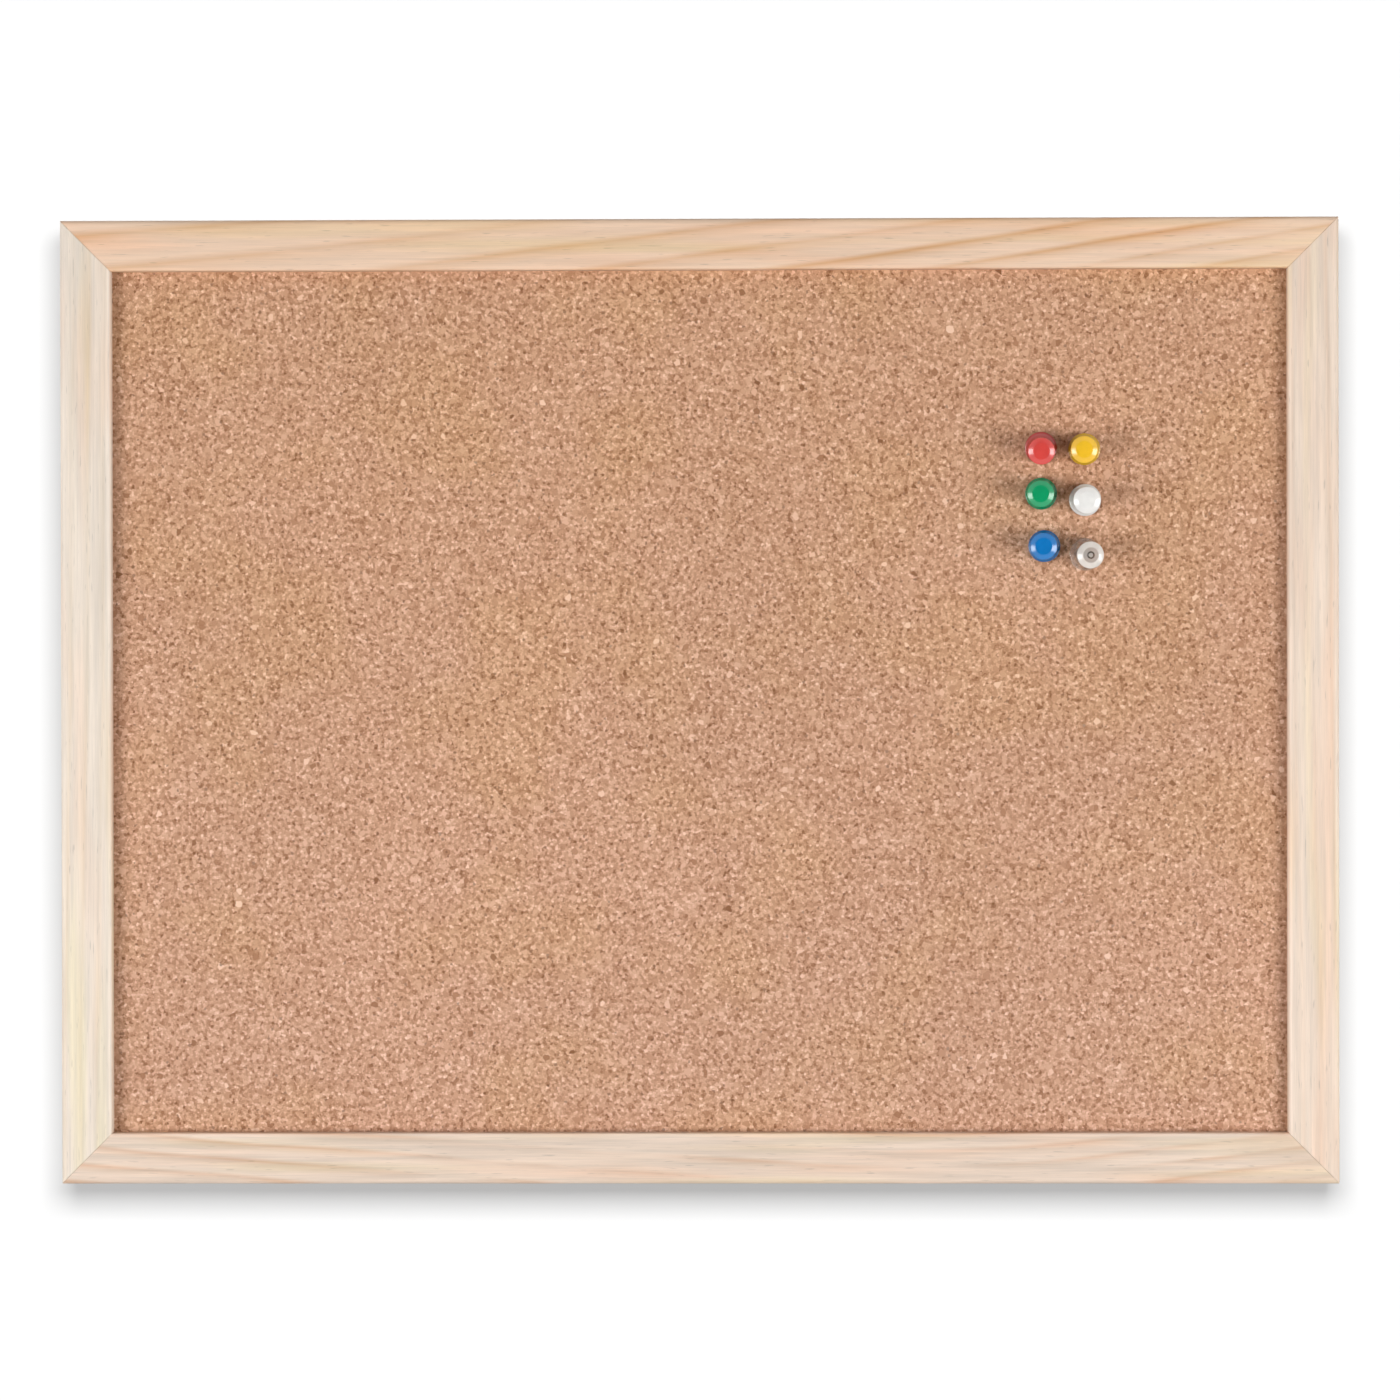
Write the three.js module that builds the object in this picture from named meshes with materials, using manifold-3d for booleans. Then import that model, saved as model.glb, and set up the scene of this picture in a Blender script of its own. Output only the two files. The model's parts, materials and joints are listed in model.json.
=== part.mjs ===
// A pine-framed cork board for pin badges and notes, with six push pins and two ring hangers.
// Millimetres. Seen from the front, +X is right and +Z is up; +Y runs from the front into the wall.
// The origin is the middle of the top rail's back face, which bears on the wall.

import * as THREE from "three";
import { mergeVertices } from "three/addons/utils/BufferGeometryUtils.js";
import Module from "manifold-3d";

const wasm = await Module();
wasm.setup();

// Frame: a rebated pine moulding, mitred at the corners
const BOARD_WIDTH = 400;
const BOARD_HEIGHT = 302;
const FRAME_FACE = 16; // width of the moulding seen from the front
const LIP_DEPTH = 4; // thickness of the front lip that holds the cork in
const REBATE_WIDTH = 4.5; // how far the lip reaches over the panel
const BACK_MARGIN = 1.7; // wood left behind the panel, which takes the points
const OUTER_ROUND = 2;
const INNER_ROUND = 0.8;
const MITRE_GAP = 0.2; // glue line in a mitre

// Panel: cork on a soft core, with a hardboard back
const CORK_THICKNESS = 3;
const CORE_THICKNESS = 7;
const BACKING_THICKNESS = 2;
const GLUE_LINE = 0.1;
const PANEL_PLAY = 0.5; // gap between the panel's edge and the rebate

// Corner nails: V-shaped, one driven into the back of each mitre
const NAIL_WING = 4.5;
const NAIL_THICKNESS = 0.8;
const NAIL_DEPTH = 10;
const NAIL_HALF_ANGLE = 40; // degrees between a wing and the mitre
const NAIL_FROM_CORNER = 6.5; // along the mitre, from the outer corner to the V's apex
const NAIL_SINK = 0.3; // how far the nail sits below the back face

// Panel points: flat steel tabs driven into the rebate, which hold the panel in
const POINT_WIDTH = 6;
const POINT_THICKNESS = 0.5;
const POINT_EMBED = 6.5;
const POINT_REACH = 8; // how far a tab reaches over the backing
const POINTS_ACROSS = 3; // on the top rail, and on the bottom rail
const POINTS_UP = 2; // on each stile

// Ring hangers: a folded strap, its screw and a D-ring that swings in the strap's eye
const HANGER_DROP = 45; // from the frame's top edge down to the ring's pivot
const HANGER_MARGIN = 0.4; // from the ring's side in to the frame's outer edge
const STRAP_WIDTH = 8;
const STRAP_SHEET = 0.8; // the strap is two of these thick below its eye
const STRAP_LENGTH = 23; // from the pivot down to the strap's end
const STRAP_NECK = 4.4; // from the pivot down to where the two layers meet
const RING_WIRE = 1.8; // diameter
const RING_SIDE_PLAY = 0.5; // between the strap and each leg of the ring
const RING_LENGTH = 11; // from the pivot to the middle of the wire at the bow's far end
const RING_CORNER = 1.6; // bend radius between the ring's bar and a leg
const RING_BUTT_GAP = 0.4; // where the wire's two ends meet, inside the eye
const SCREW_FROM_END = 6.2; // from the strap's end up to the screw
const SCREW_SHAFT = 2.4; // diameter
const SCREW_LENGTH = 11;
const SCREW_HEAD = 5.2; // diameter
const SCREW_HEAD_HEIGHT = 1.7;
const SCREW_HEAD_EDGE = 0.6; // height of the head's straight rim, below its dome
const SCREW_POINT = 2.5; // length of the conical point
const SLOT_WIDTH = 0.9; // each bar of the cross recess
const SLOT_LENGTH = 3.2;
const SLOT_DEPTH = 0.9;

// Push pins: a moulded grip on a steel needle
const GRIP_HEIGHT = 12.5;
const FLANGE_RADIUS = 5;
const FLANGE_THICKNESS = 1.4;
const WAIST_RADIUS = 2.5;
const CAP_RADIUS = 4.2;
const CAP_THICKNESS = 2.4;
const CAP_FLAT_RADIUS = 2.6; // the flat in the middle of the cap's top
const CAP_BEVEL_HEIGHT = 0.8;
const GRIP_EDGE = 0.4; // rounding of the flange's and the cap's rims
const GRIP_FLARE = 2.2; // power of the curve from the waist out to the flange and the cap
const NEEDLE_RADIUS = 0.55;
const NEEDLE_LENGTH = 10; // below the grip
const NEEDLE_ROOT = 7.5; // inside the grip
const NEEDLE_TAPER = 3.5;
const NEEDLE_BORE_GAP = 0.15; // between the needle and the grip's bore

// Where each pin enters the cork, from the board's centre, and how far its head leans, in degrees
const PINS = [
  { colour: "red", right: 107.2, up: 79.2, leanRight: -3.3, leanDown: 9 },
  { colour: "yellow", right: 120.8, up: 78.7, leanRight: -5, leanDown: 4 },
  { colour: "green", right: 107.3, up: 64.8, leanRight: -5, leanDown: 3 },
  { colour: "white", right: 121, up: 62.8, leanRight: -2, leanDown: 3 },
  { colour: "blue", right: 108.3, up: 48.4, leanRight: -5.5, leanDown: 2.3 },
  { colour: "clear", right: 121.1, up: 45.8, leanRight: 3, leanDown: 3 },
];

// Clearance between a fastener and the pocket or hole that it sits in, and between a part and its seat
const CLEARANCE = 0.3;

// Facets
const ROUND_STEPS = 5; // in a quarter round of the moulding
const GRIP_SIDES = 24;
const NEEDLE_SIDES = 10;
const FLARE_STEPS = 4;
const SCREW_SIDES = 18;
const DOME_STEPS = 4;
const WIRE_QUARTER_STEPS = 2;
const RING_STEPS = 40;

// Depths, from the wall at 0 to the front
const BACK_FACE = FRAME_FACE - REBATE_WIDTH;
const PANEL_DEPTH = CORK_THICKNESS + CORE_THICKNESS + BACKING_THICKNESS + 3 * GLUE_LINE;
const FRAME_DEPTH = LIP_DEPTH + PANEL_DEPTH + BACK_MARGIN;
const CORK_FRONT = -FRAME_DEPTH + LIP_DEPTH + GLUE_LINE;
const CORE_FRONT = CORK_FRONT + CORK_THICKNESS + GLUE_LINE;
const BACKING_FRONT = CORE_FRONT + CORE_THICKNESS + GLUE_LINE;
const BACKING_REAR = BACKING_FRONT + BACKING_THICKNESS;

const X_AXIS = new THREE.Vector3(1, 0, 0);
const Y_AXIS = new THREE.Vector3(0, 1, 0);
const Z_AXIS = new THREE.Vector3(0, 0, 1);
const INTO_WOOD = Y_AXIS.clone().negate();
const rad = THREE.MathUtils.degToRad;

// Materials
const finish = (color, roughness, metalness = 0) =>
  new THREE.MeshStandardMaterial({ color, roughness, metalness });
const PINE = finish(0xecd9c3, 0.6);
const CORK = finish(0xca9d7f, 0.9);
const SOFTBOARD = finish(0xb79f80, 0.95);
const HARDBOARD = finish(0x7d5a3c, 0.75);
const STEEL = finish(0xb9bcc0, 0.35, 1);
const PLASTICS = {
  red: finish(0xd8383a, 0.25),
  yellow: finish(0xf0b92b, 0.25),
  green: finish(0x009b63, 0.25),
  white: finish(0xf0eeea, 0.25),
  blue: finish(0x0673be, 0.25),
  clear: finish(0xe6e3dc, 0.1),
};

// Booleans: a closed geometry as a solid, and back
function solidOf(geometry, matrix = new THREE.Matrix4()) {
  const bare = geometry.clone().applyMatrix4(matrix);
  bare.deleteAttribute("normal");
  bare.deleteAttribute("uv");
  const merged = mergeVertices(bare);
  return new wasm.Manifold(
    new wasm.Mesh({
      numProp: 3,
      vertProperties: merged.attributes.position.array,
      triVerts: new Uint32Array(merged.index.array),
    }),
  );
}

function geometryOf(solid) {
  const { vertProperties, triVerts } = solid.getMesh();
  const geometry = new THREE.BufferGeometry();
  geometry.setAttribute("position", new THREE.BufferAttribute(vertProperties, 3));
  geometry.setIndex(new THREE.BufferAttribute(triVerts, 1));
  geometry.computeVertexNormals();
  return geometry;
}

const cut = (geometry, cutters) =>
  geometryOf(cutters.reduce((left, cutter) => left.subtract(cutter), solidOf(geometry)));

function named(name, geometry, material) {
  const mesh = new THREE.Mesh(geometry, material);
  mesh.name = name;
  return mesh;
}

// A flat outline with a thickness, whose own x, y and thickness run along the given directions from a point
function plate(outline, thickness, x, y, along, at = new THREE.Vector3()) {
  const geometry = new THREE.ExtrudeGeometry(outline, {
    depth: thickness,
    bevelEnabled: false,
    curveSegments: ROUND_STEPS,
  });
  return geometry.applyMatrix4(new THREE.Matrix4().makeBasis(x, y, along).setPosition(at));
}

// A turned piece: the profile is [radius, distance along the axis] and the axis is +Y
function turned(profile, sides) {
  return new THREE.LatheGeometry(profile.map(([r, y]) => new THREE.Vector2(r, y)), sides);
}

// The moulding's section: x is inwards from the frame's outer edge, y is forwards from its back
function mouldingSection() {
  const seat = FRAME_DEPTH - LIP_DEPTH;
  const section = new THREE.Shape();
  section.moveTo(0, 0);
  section.lineTo(BACK_FACE, 0);
  section.lineTo(BACK_FACE, seat);
  section.lineTo(FRAME_FACE, seat);
  section.lineTo(FRAME_FACE, FRAME_DEPTH - INNER_ROUND);
  section.absarc(FRAME_FACE - INNER_ROUND, FRAME_DEPTH - INNER_ROUND, INNER_ROUND, 0, Math.PI / 2);
  section.lineTo(OUTER_ROUND, FRAME_DEPTH);
  section.absarc(OUTER_ROUND, FRAME_DEPTH - OUTER_ROUND, OUTER_ROUND, Math.PI / 2, Math.PI);
  section.closePath();
  return section;
}

// A mitred length of moulding along X, with its outer edge at Z 0 and its back at Y 0
function mouldingLength(length) {
  const geometry = new THREE.ExtrudeGeometry(mouldingSection(), {
    depth: length,
    bevelEnabled: false,
    curveSegments: ROUND_STEPS,
  });
  const corners = geometry.attributes.position;
  const pullBack = MITRE_GAP / Math.SQRT2;
  for (let i = 0; i < corners.count; i++) {
    const inwards = corners.getX(i) + pullBack;
    const atFarEnd = corners.getZ(i) > length / 2;
    corners.setZ(i, atFarEnd ? length - inwards : inwards);
  }
  const along = X_AXIS.clone().negate();
  const place = new THREE.Matrix4().makeBasis(Z_AXIS.clone().negate(), INTO_WOOD, along);
  return geometry.applyMatrix4(place.setPosition(length / 2, 0, 0));
}

// The four sides of the frame, from its centre: how each is turned about Y and how far out it stands
const SIDES = [
  { rail: "top_rail", turn: 0, out: BOARD_HEIGHT / 2, length: BOARD_WIDTH, points: POINTS_ACROSS },
  { rail: "right_stile", turn: 90, out: BOARD_WIDTH / 2, length: BOARD_HEIGHT, points: POINTS_UP },
  { rail: "bottom_rail", turn: 180, out: BOARD_HEIGHT / 2, length: BOARD_WIDTH, points: POINTS_ACROSS },
  { rail: "left_stile", turn: -90, out: BOARD_WIDTH / 2, length: BOARD_HEIGHT, points: POINTS_UP },
];

function sideMatrix({ turn, out }) {
  const turned = new THREE.Matrix4().makeRotationY(rad(turn));
  return turned.multiply(new THREE.Matrix4().makeTranslation(0, 0, out));
}

// Corner nails. The V straddles the mitre with a wing in each piece of moulding.
function cornerNail(grow = 0) {
  const half = NAIL_THICKNESS / 2 + grow;
  const sin = Math.sin(rad(NAIL_HALF_ANGLE));
  const cos = Math.cos(rad(NAIL_HALF_ANGLE));
  const wing = NAIL_WING + grow;
  const outer = [wing * cos - half * sin, wing * sin + half * cos];
  const inner = [wing * cos + half * sin, wing * sin - half * cos];
  const outline = new THREE.Shape();
  outline.moveTo(-half / sin, 0);
  outline.lineTo(outer[0], -outer[1]);
  outline.lineTo(inner[0], -inner[1]);
  outline.lineTo(half / sin, 0);
  outline.lineTo(inner[0], inner[1]);
  outline.lineTo(outer[0], outer[1]);
  outline.closePath();
  return outline;
}

const CORNERS = [
  { name: "top_left", right: -1, up: 1 },
  { name: "top_right", right: 1, up: 1 },
  { name: "bottom_right", right: 1, up: -1 },
  { name: "bottom_left", right: -1, up: -1 },
];

const cornerNails = CORNERS.map(({ name, right, up }) => {
  const inwards = new THREE.Vector3(-right, 0, -up).normalize();
  const across = INTO_WOOD.clone().cross(inwards);
  const corner = new THREE.Vector3((right * BOARD_WIDTH) / 2, 0, (up * BOARD_HEIGHT) / 2);
  const apex = corner.addScaledVector(inwards, NAIL_FROM_CORNER);
  const nail = plate(cornerNail(), NAIL_DEPTH, inwards, across, INTO_WOOD, apex.clone().setY(-NAIL_SINK));
  const pocketDepth = NAIL_SINK + NAIL_DEPTH + CLEARANCE;
  const mouth = apex.clone().setY(CLEARANCE);
  const pocket = plate(cornerNail(CLEARANCE), pocketDepth + CLEARANCE, inwards, across, INTO_WOOD, mouth);
  return { mesh: named(`corner_nail_${name}`, nail, STEEL), pocket: solidOf(pocket) };
});

// Panel points. Each tab's own x runs into the wood from the rebate's wall and its y along the rail.
function pointOutline(grow = 0) {
  const half = POINT_WIDTH / 2 + grow;
  const outline = new THREE.Shape();
  outline.moveTo(-POINT_REACH, -half);
  outline.lineTo(POINT_EMBED + grow - half, -half);
  outline.lineTo(POINT_EMBED + grow, 0);
  outline.lineTo(POINT_EMBED + grow - half, half);
  outline.lineTo(-POINT_REACH, half);
  outline.closePath();
  return outline;
}

const panelPoints = SIDES.flatMap((side) => {
  const pitch = side.length / (side.points + 1);
  return Array.from({ length: side.points }, (_, i) => {
    const front = BACKING_REAR + GLUE_LINE;
    const wall = new THREE.Vector3((i + 1) * pitch - side.length / 2, front, -BACK_FACE);
    const slotFront = wall.clone().setY(front - CLEARANCE);
    const slotThickness = POINT_THICKNESS + 2 * CLEARANCE;
    const tab = plate(pointOutline(), POINT_THICKNESS, Z_AXIS, X_AXIS, Y_AXIS, wall);
    const slot = plate(pointOutline(CLEARANCE), slotThickness, Z_AXIS, X_AXIS, Y_AXIS, slotFront);
    const matrix = sideMatrix(side);
    const mesh = named(`panel_point_${side.rail}_${i + 1}`, tab.applyMatrix4(matrix), STEEL);
    return { mesh, pocket: solidOf(slot, matrix) };
  });
});

// Ring hangers. A hanger's own origin is its ring's pivot, with the wood at -PIVOT_HEIGHT along Y.
const EYE_RADIUS = RING_WIRE / 2 + CLEARANCE;
const EYE_OUTER = EYE_RADIUS + STRAP_SHEET;
const PIVOT_HEIGHT = EYE_OUTER + CLEARANCE;
const STRAP_TOP = -EYE_OUTER + 2 * STRAP_SHEET;
const SCREW_DROP = STRAP_LENGTH - SCREW_FROM_END; // from the pivot down to the screw
const RING_HALF = STRAP_WIDTH / 2 + RING_SIDE_PLAY + RING_WIRE / 2; // from the middle to a leg's middle
const HANGER_INSET = RING_HALF + RING_WIRE / 2 + HANGER_MARGIN;
const RING_REST_LEAN = Math.asin((STRAP_TOP + CLEARANCE + RING_WIRE / 2) / RING_LENGTH);

// The folded strip seen edge on: x is away from the wood, y is up
function strapSection() {
  const fold = new THREE.Vector2(STRAP_TOP, -STRAP_NECK);
  const tangent = fold.angle() - 2 * Math.PI + Math.acos(EYE_OUTER / fold.length());
  const section = new THREE.Shape();
  section.moveTo(-EYE_OUTER, -STRAP_LENGTH);
  section.lineTo(-EYE_OUTER, 0);
  section.absarc(0, 0, EYE_OUTER, Math.PI, tangent, true);
  section.lineTo(fold.x, fold.y);
  section.lineTo(STRAP_TOP, -STRAP_LENGTH);
  section.closePath();
  const eye = new THREE.Path();
  eye.absarc(0, 0, EYE_RADIUS, 0, 2 * Math.PI);
  section.holes.push(eye);
  return section;
}

// The strip seen from the back, with its lower end rounded
function strapPlan() {
  const half = STRAP_WIDTH / 2;
  const plan = new THREE.Shape();
  plan.moveTo(half, EYE_OUTER + CLEARANCE);
  plan.lineTo(-half, EYE_OUTER + CLEARANCE);
  plan.lineTo(-half, half - STRAP_LENGTH);
  plan.absarc(0, half - STRAP_LENGTH, half, Math.PI, 2 * Math.PI);
  plan.closePath();
  return plan;
}

function strapGeometry() {
  const sideways = new THREE.Vector3(-STRAP_WIDTH / 2, 0, 0);
  const strip = plate(strapSection(), STRAP_WIDTH, Y_AXIS, Z_AXIS, X_AXIS, sideways);
  const below = new THREE.Vector3(0, EYE_OUTER + CLEARANCE, 0);
  const plan = plate(strapPlan(), 2 * below.y, X_AXIS, Z_AXIS, INTO_WOOD, below);
  const holeRadius = SCREW_SHAFT / 2 + CLEARANCE;
  const hole = new THREE.CylinderGeometry(holeRadius, holeRadius, 2 * below.y, SCREW_SIDES);
  hole.translate(0, 0, -SCREW_DROP);
  return geometryOf(solidOf(strip).intersect(solidOf(plan)).subtract(solidOf(hole)));
}

// The ring hangs down from its bar. Its wire starts and ends inside the eye.
function ringGeometry() {
  const bowCentre = RING_HALF - RING_LENGTH;
  const bend = RING_HALF - RING_CORNER;
  const line = new THREE.Path();
  line.moveTo(RING_BUTT_GAP / 2, 0);
  line.lineTo(bend, 0);
  line.absarc(bend, -RING_CORNER, RING_CORNER, Math.PI / 2, 0, true);
  line.lineTo(RING_HALF, bowCentre);
  line.absarc(0, bowCentre, RING_HALF, 0, -Math.PI, true);
  line.lineTo(-RING_HALF, -RING_CORNER);
  line.absarc(-bend, -RING_CORNER, RING_CORNER, Math.PI, Math.PI / 2, true);
  line.lineTo(-RING_BUTT_GAP / 2, 0);
  const points = line.getSpacedPoints(RING_STEPS).map((p) => new THREE.Vector3(p.x, 0, p.y));
  const wire = new THREE.Shape();
  wire.absarc(0, 0, RING_WIRE / 2, 0, 2 * Math.PI);
  return new THREE.ExtrudeGeometry(wire, {
    steps: RING_STEPS,
    curveSegments: WIRE_QUARTER_STEPS * 2,
    extrudePath: new THREE.CatmullRomCurve3(points),
  });
}

// A pan-head screw along +Y from its point, with its head's underside at Y 0
function screwGeometry() {
  const shaft = SCREW_SHAFT / 2;
  const head = SCREW_HEAD / 2;
  const rise = SCREW_HEAD_HEIGHT - SCREW_HEAD_EDGE;
  const dome = Array.from({ length: DOME_STEPS }, (_, i) => {
    const angle = ((i / DOME_STEPS) * Math.PI) / 2;
    return [head * Math.cos(angle), SCREW_HEAD_EDGE + rise * Math.sin(angle)];
  });
  const body = turned(
    [
      [0, -SCREW_LENGTH],
      [shaft, SCREW_POINT - SCREW_LENGTH],
      [shaft, 0],
      [head, 0],
      ...dome,
      [0, SCREW_HEAD_HEIGHT],
    ],
    SCREW_SIDES,
  );
  const recess = [0, Math.PI / 2].map((turn) => {
    const bar = new THREE.BoxGeometry(SLOT_LENGTH, 2 * SLOT_DEPTH, SLOT_WIDTH);
    bar.rotateY(turn + Math.PI / 4);
    return solidOf(bar.translate(0, SCREW_HEAD_HEIGHT, 0));
  });
  return cut(body, recess);
}

function screwPocket() {
  const radius = SCREW_SHAFT / 2 + CLEARANCE;
  const length = SCREW_LENGTH + CLEARANCE;
  return new THREE.CylinderGeometry(radius, radius, length, SCREW_SIDES).translate(0, -length / 2, 0);
}

const HANGERS = [
  { side: "left", right: -1 },
  { side: "right", right: 1 },
];

const hangers = HANGERS.map(({ side, right }) => {
  const hanger = new THREE.Group();
  hanger.position.set(right * (BOARD_WIDTH / 2 - HANGER_INSET), PIVOT_HEIGHT, BOARD_HEIGHT / 2 - HANGER_DROP);
  const ring = named(`${side}_hanger_ring`, ringGeometry(), STEEL);
  ring.rotation.x = RING_REST_LEAN;
  const screw = named(`${side}_hanger_screw`, screwGeometry(), STEEL);
  screw.position.set(0, STRAP_TOP + CLEARANCE, -SCREW_DROP);
  hanger.add(named(`${side}_hanger_strap`, strapGeometry(), STEEL), ring, screw);
  const place = new THREE.Matrix4().setPosition(hanger.position.clone().add(screw.position));
  return { group: hanger, pocket: solidOf(screwPocket(), place) };
});

// Push pins. A pin's own origin is the middle of its flange's underside, with the needle along +Y.
function gripGeometry() {
  const bore = NEEDLE_RADIUS + NEEDLE_BORE_GAP;
  const capBottom = GRIP_HEIGHT - CAP_THICKNESS;
  const capShoulder = GRIP_HEIGHT - CAP_BEVEL_HEIGHT;
  const waist = (FLANGE_THICKNESS + capBottom) / 2;
  const flare = (rim, end, share) => [
    WAIST_RADIUS + (rim - GRIP_EDGE - WAIST_RADIUS) * share ** GRIP_FLARE,
    waist + (end - waist) * share,
  ];
  const shares = Array.from({ length: FLARE_STEPS }, (_, i) => (i + 1) / FLARE_STEPS);
  const profile = [
    [0, NEEDLE_ROOT + NEEDLE_BORE_GAP],
    [bore, NEEDLE_ROOT + NEEDLE_BORE_GAP],
    [bore, 0],
    [FLANGE_RADIUS - GRIP_EDGE, 0],
    [FLANGE_RADIUS, GRIP_EDGE],
    [FLANGE_RADIUS, FLANGE_THICKNESS - GRIP_EDGE],
    ...shares.toReversed().map((share) => flare(FLANGE_RADIUS, FLANGE_THICKNESS, share)),
    [WAIST_RADIUS, waist],
    ...shares.map((share) => flare(CAP_RADIUS, capBottom, share)),
    [CAP_RADIUS, capBottom + GRIP_EDGE],
    [CAP_RADIUS, capShoulder - GRIP_EDGE],
    [CAP_RADIUS - GRIP_EDGE, capShoulder],
    [CAP_FLAT_RADIUS, GRIP_HEIGHT],
    [0, GRIP_HEIGHT],
  ];
  return turned(profile, GRIP_SIDES).rotateX(Math.PI);
}

function needleGeometry() {
  const profile = [
    [0, -NEEDLE_LENGTH],
    [NEEDLE_RADIUS, NEEDLE_TAPER - NEEDLE_LENGTH],
    [NEEDLE_RADIUS, NEEDLE_ROOT],
    [0, NEEDLE_ROOT],
  ];
  return turned(profile, NEEDLE_SIDES).rotateX(Math.PI);
}

function needleHole() {
  const radius = NEEDLE_RADIUS + CLEARANCE;
  const length = NEEDLE_LENGTH + CLEARANCE;
  return new THREE.CylinderGeometry(radius, radius, length, NEEDLE_SIDES).translate(0, length / 2, 0);
}

const pushPins = PINS.map(({ colour, right, up, leanRight, leanDown }) => {
  const pin = new THREE.Group();
  pin.rotation.set(rad(leanDown), 0, rad(leanRight));
  const lean = Y_AXIS.clone().applyEuler(pin.rotation).angleTo(Y_AXIS);
  const lift = FLANGE_RADIUS * Math.sin(lean) + CLEARANCE;
  pin.position.set(right, CORK_FRONT - lift, up);
  pin.updateMatrix();
  pin.add(named(`${colour}_pin_grip`, gripGeometry(), PLASTICS[colour]));
  pin.add(named(`${colour}_pin_needle`, needleGeometry(), STEEL));
  return { group: pin, hole: solidOf(needleHole(), pin.matrix) };
});

// The frame's four sides, with the pockets of the fasteners driven into them
const fastenerPockets = [...cornerNails, ...panelPoints, ...hangers].map(({ pocket }) => pocket);

const rails = SIDES.map((side) => {
  const matrix = sideMatrix(side);
  const toRail = matrix.clone().invert().elements;
  const pockets = fastenerPockets.map((pocket) => pocket.transform(toRail));
  const rail = named(side.rail, cut(mouldingLength(side.length), pockets), PINE);
  rail.applyMatrix4(matrix);
  return rail;
});

// The panel's three sheets, with the needles' holes
function panelSheet(name, thickness, front, material) {
  const width = BOARD_WIDTH - 2 * (BACK_FACE + PANEL_PLAY);
  const height = BOARD_HEIGHT - 2 * (BACK_FACE + PANEL_PLAY);
  const sheet = new THREE.BoxGeometry(width, thickness, height).translate(0, front + thickness / 2, 0);
  return named(name, cut(sheet, pushPins.map(({ hole }) => hole)), material);
}

const panel = [
  panelSheet("cork_sheet", CORK_THICKNESS, CORK_FRONT, CORK),
  panelSheet("softboard_core", CORE_THICKNESS, CORE_FRONT, SOFTBOARD),
  panelSheet("hardboard_backing", BACKING_THICKNESS, BACKING_FRONT, HARDBOARD),
];

// The board about its own centre, hung so that the origin is on the top rail's back face
const board = new THREE.Group();
board.position.z = (BACK_FACE - BOARD_HEIGHT) / 2;
board.add(...rails, ...panel);
board.add(...cornerNails.map(({ mesh }) => mesh), ...panelPoints.map(({ mesh }) => mesh));
board.add(...hangers.map(({ group }) => group), ...pushPins.map(({ group }) => group));

const pinBoard = new THREE.Group();
pinBoard.add(board);

export default pinBoard;
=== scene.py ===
# %% [markdown]
# # A pine-framed cork pin board
# The real object is a small board for badges and notes: a mitred pine frame, a cork face on a soft core,
# a hardboard back, push pins in six colours and two ring hangers behind. The packed model already holds
# every piece at its real size and place. This lesson loads that model as a fixed frame, then makes each
# piece again with the roundness, grain and gloss that the solids leave out.

# %% Load the frame
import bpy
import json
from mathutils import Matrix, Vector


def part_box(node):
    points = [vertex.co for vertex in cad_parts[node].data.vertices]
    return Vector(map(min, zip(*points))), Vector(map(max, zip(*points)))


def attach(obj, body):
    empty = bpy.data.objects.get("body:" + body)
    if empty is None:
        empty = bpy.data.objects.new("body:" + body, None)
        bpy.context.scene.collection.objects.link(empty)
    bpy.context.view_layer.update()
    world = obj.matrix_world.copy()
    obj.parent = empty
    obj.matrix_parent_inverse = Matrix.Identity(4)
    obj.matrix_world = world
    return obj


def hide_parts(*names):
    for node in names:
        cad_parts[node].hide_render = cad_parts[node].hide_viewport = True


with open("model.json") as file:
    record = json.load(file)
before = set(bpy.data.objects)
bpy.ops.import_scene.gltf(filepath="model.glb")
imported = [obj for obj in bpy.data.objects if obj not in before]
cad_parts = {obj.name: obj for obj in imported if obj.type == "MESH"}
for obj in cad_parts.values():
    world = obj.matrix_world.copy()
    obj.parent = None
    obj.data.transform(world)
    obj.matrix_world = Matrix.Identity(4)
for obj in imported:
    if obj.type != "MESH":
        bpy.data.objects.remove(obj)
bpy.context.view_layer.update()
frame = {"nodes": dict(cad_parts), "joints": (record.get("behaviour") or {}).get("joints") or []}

# %% [markdown]
# ## Sizes from the frame
# Nothing is fitted by eye. A box round a CAD node says where that piece lies, so the frame's outline, the
# depth of its lip and the cork's edges are all read from the nodes. +X is right, +Z is up and the front
# faces -Y, as a viewer standing before the wall sees it.

# %% Read the board's sizes
import json
import math

import bmesh
import bpy
from mathutils import Matrix, Vector

MM = 0.001
UP = Vector((0, 0, 1))

cork_low, cork_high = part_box("cork_sheet")
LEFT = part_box("left_stile")[0].x
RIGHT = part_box("right_stile")[1].x
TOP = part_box("top_rail")[1].z
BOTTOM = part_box("bottom_rail")[0].z
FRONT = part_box("top_rail")[0].y
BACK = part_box("top_rail")[1].y
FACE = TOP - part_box("top_rail")[0].z
DEPTH = BACK - FRONT
GLUE_LINE = 0.1 * MM
PANEL_PLAY = 0.5 * MM
LIP = cork_low.y - FRONT - GLUE_LINE
BACK_FACE = RIGHT - cork_high.x - PANEL_PLAY
CENTRE = Vector(((LEFT + RIGHT) / 2, 0, (TOP + BOTTOM) / 2))
print(f"board {RIGHT - LEFT:.3f} x {TOP - BOTTOM:.3f} m, {DEPTH:.4f} m deep, lip {LIP:.4f} m")

# %% [markdown]
# ## A short way to wire nodes
# Finishes and geometry trees are both node trees. A small wrapper keeps the lesson readable: it adds a
# node, sets its options and either joins a socket to it or writes a plain value on the socket.


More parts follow.
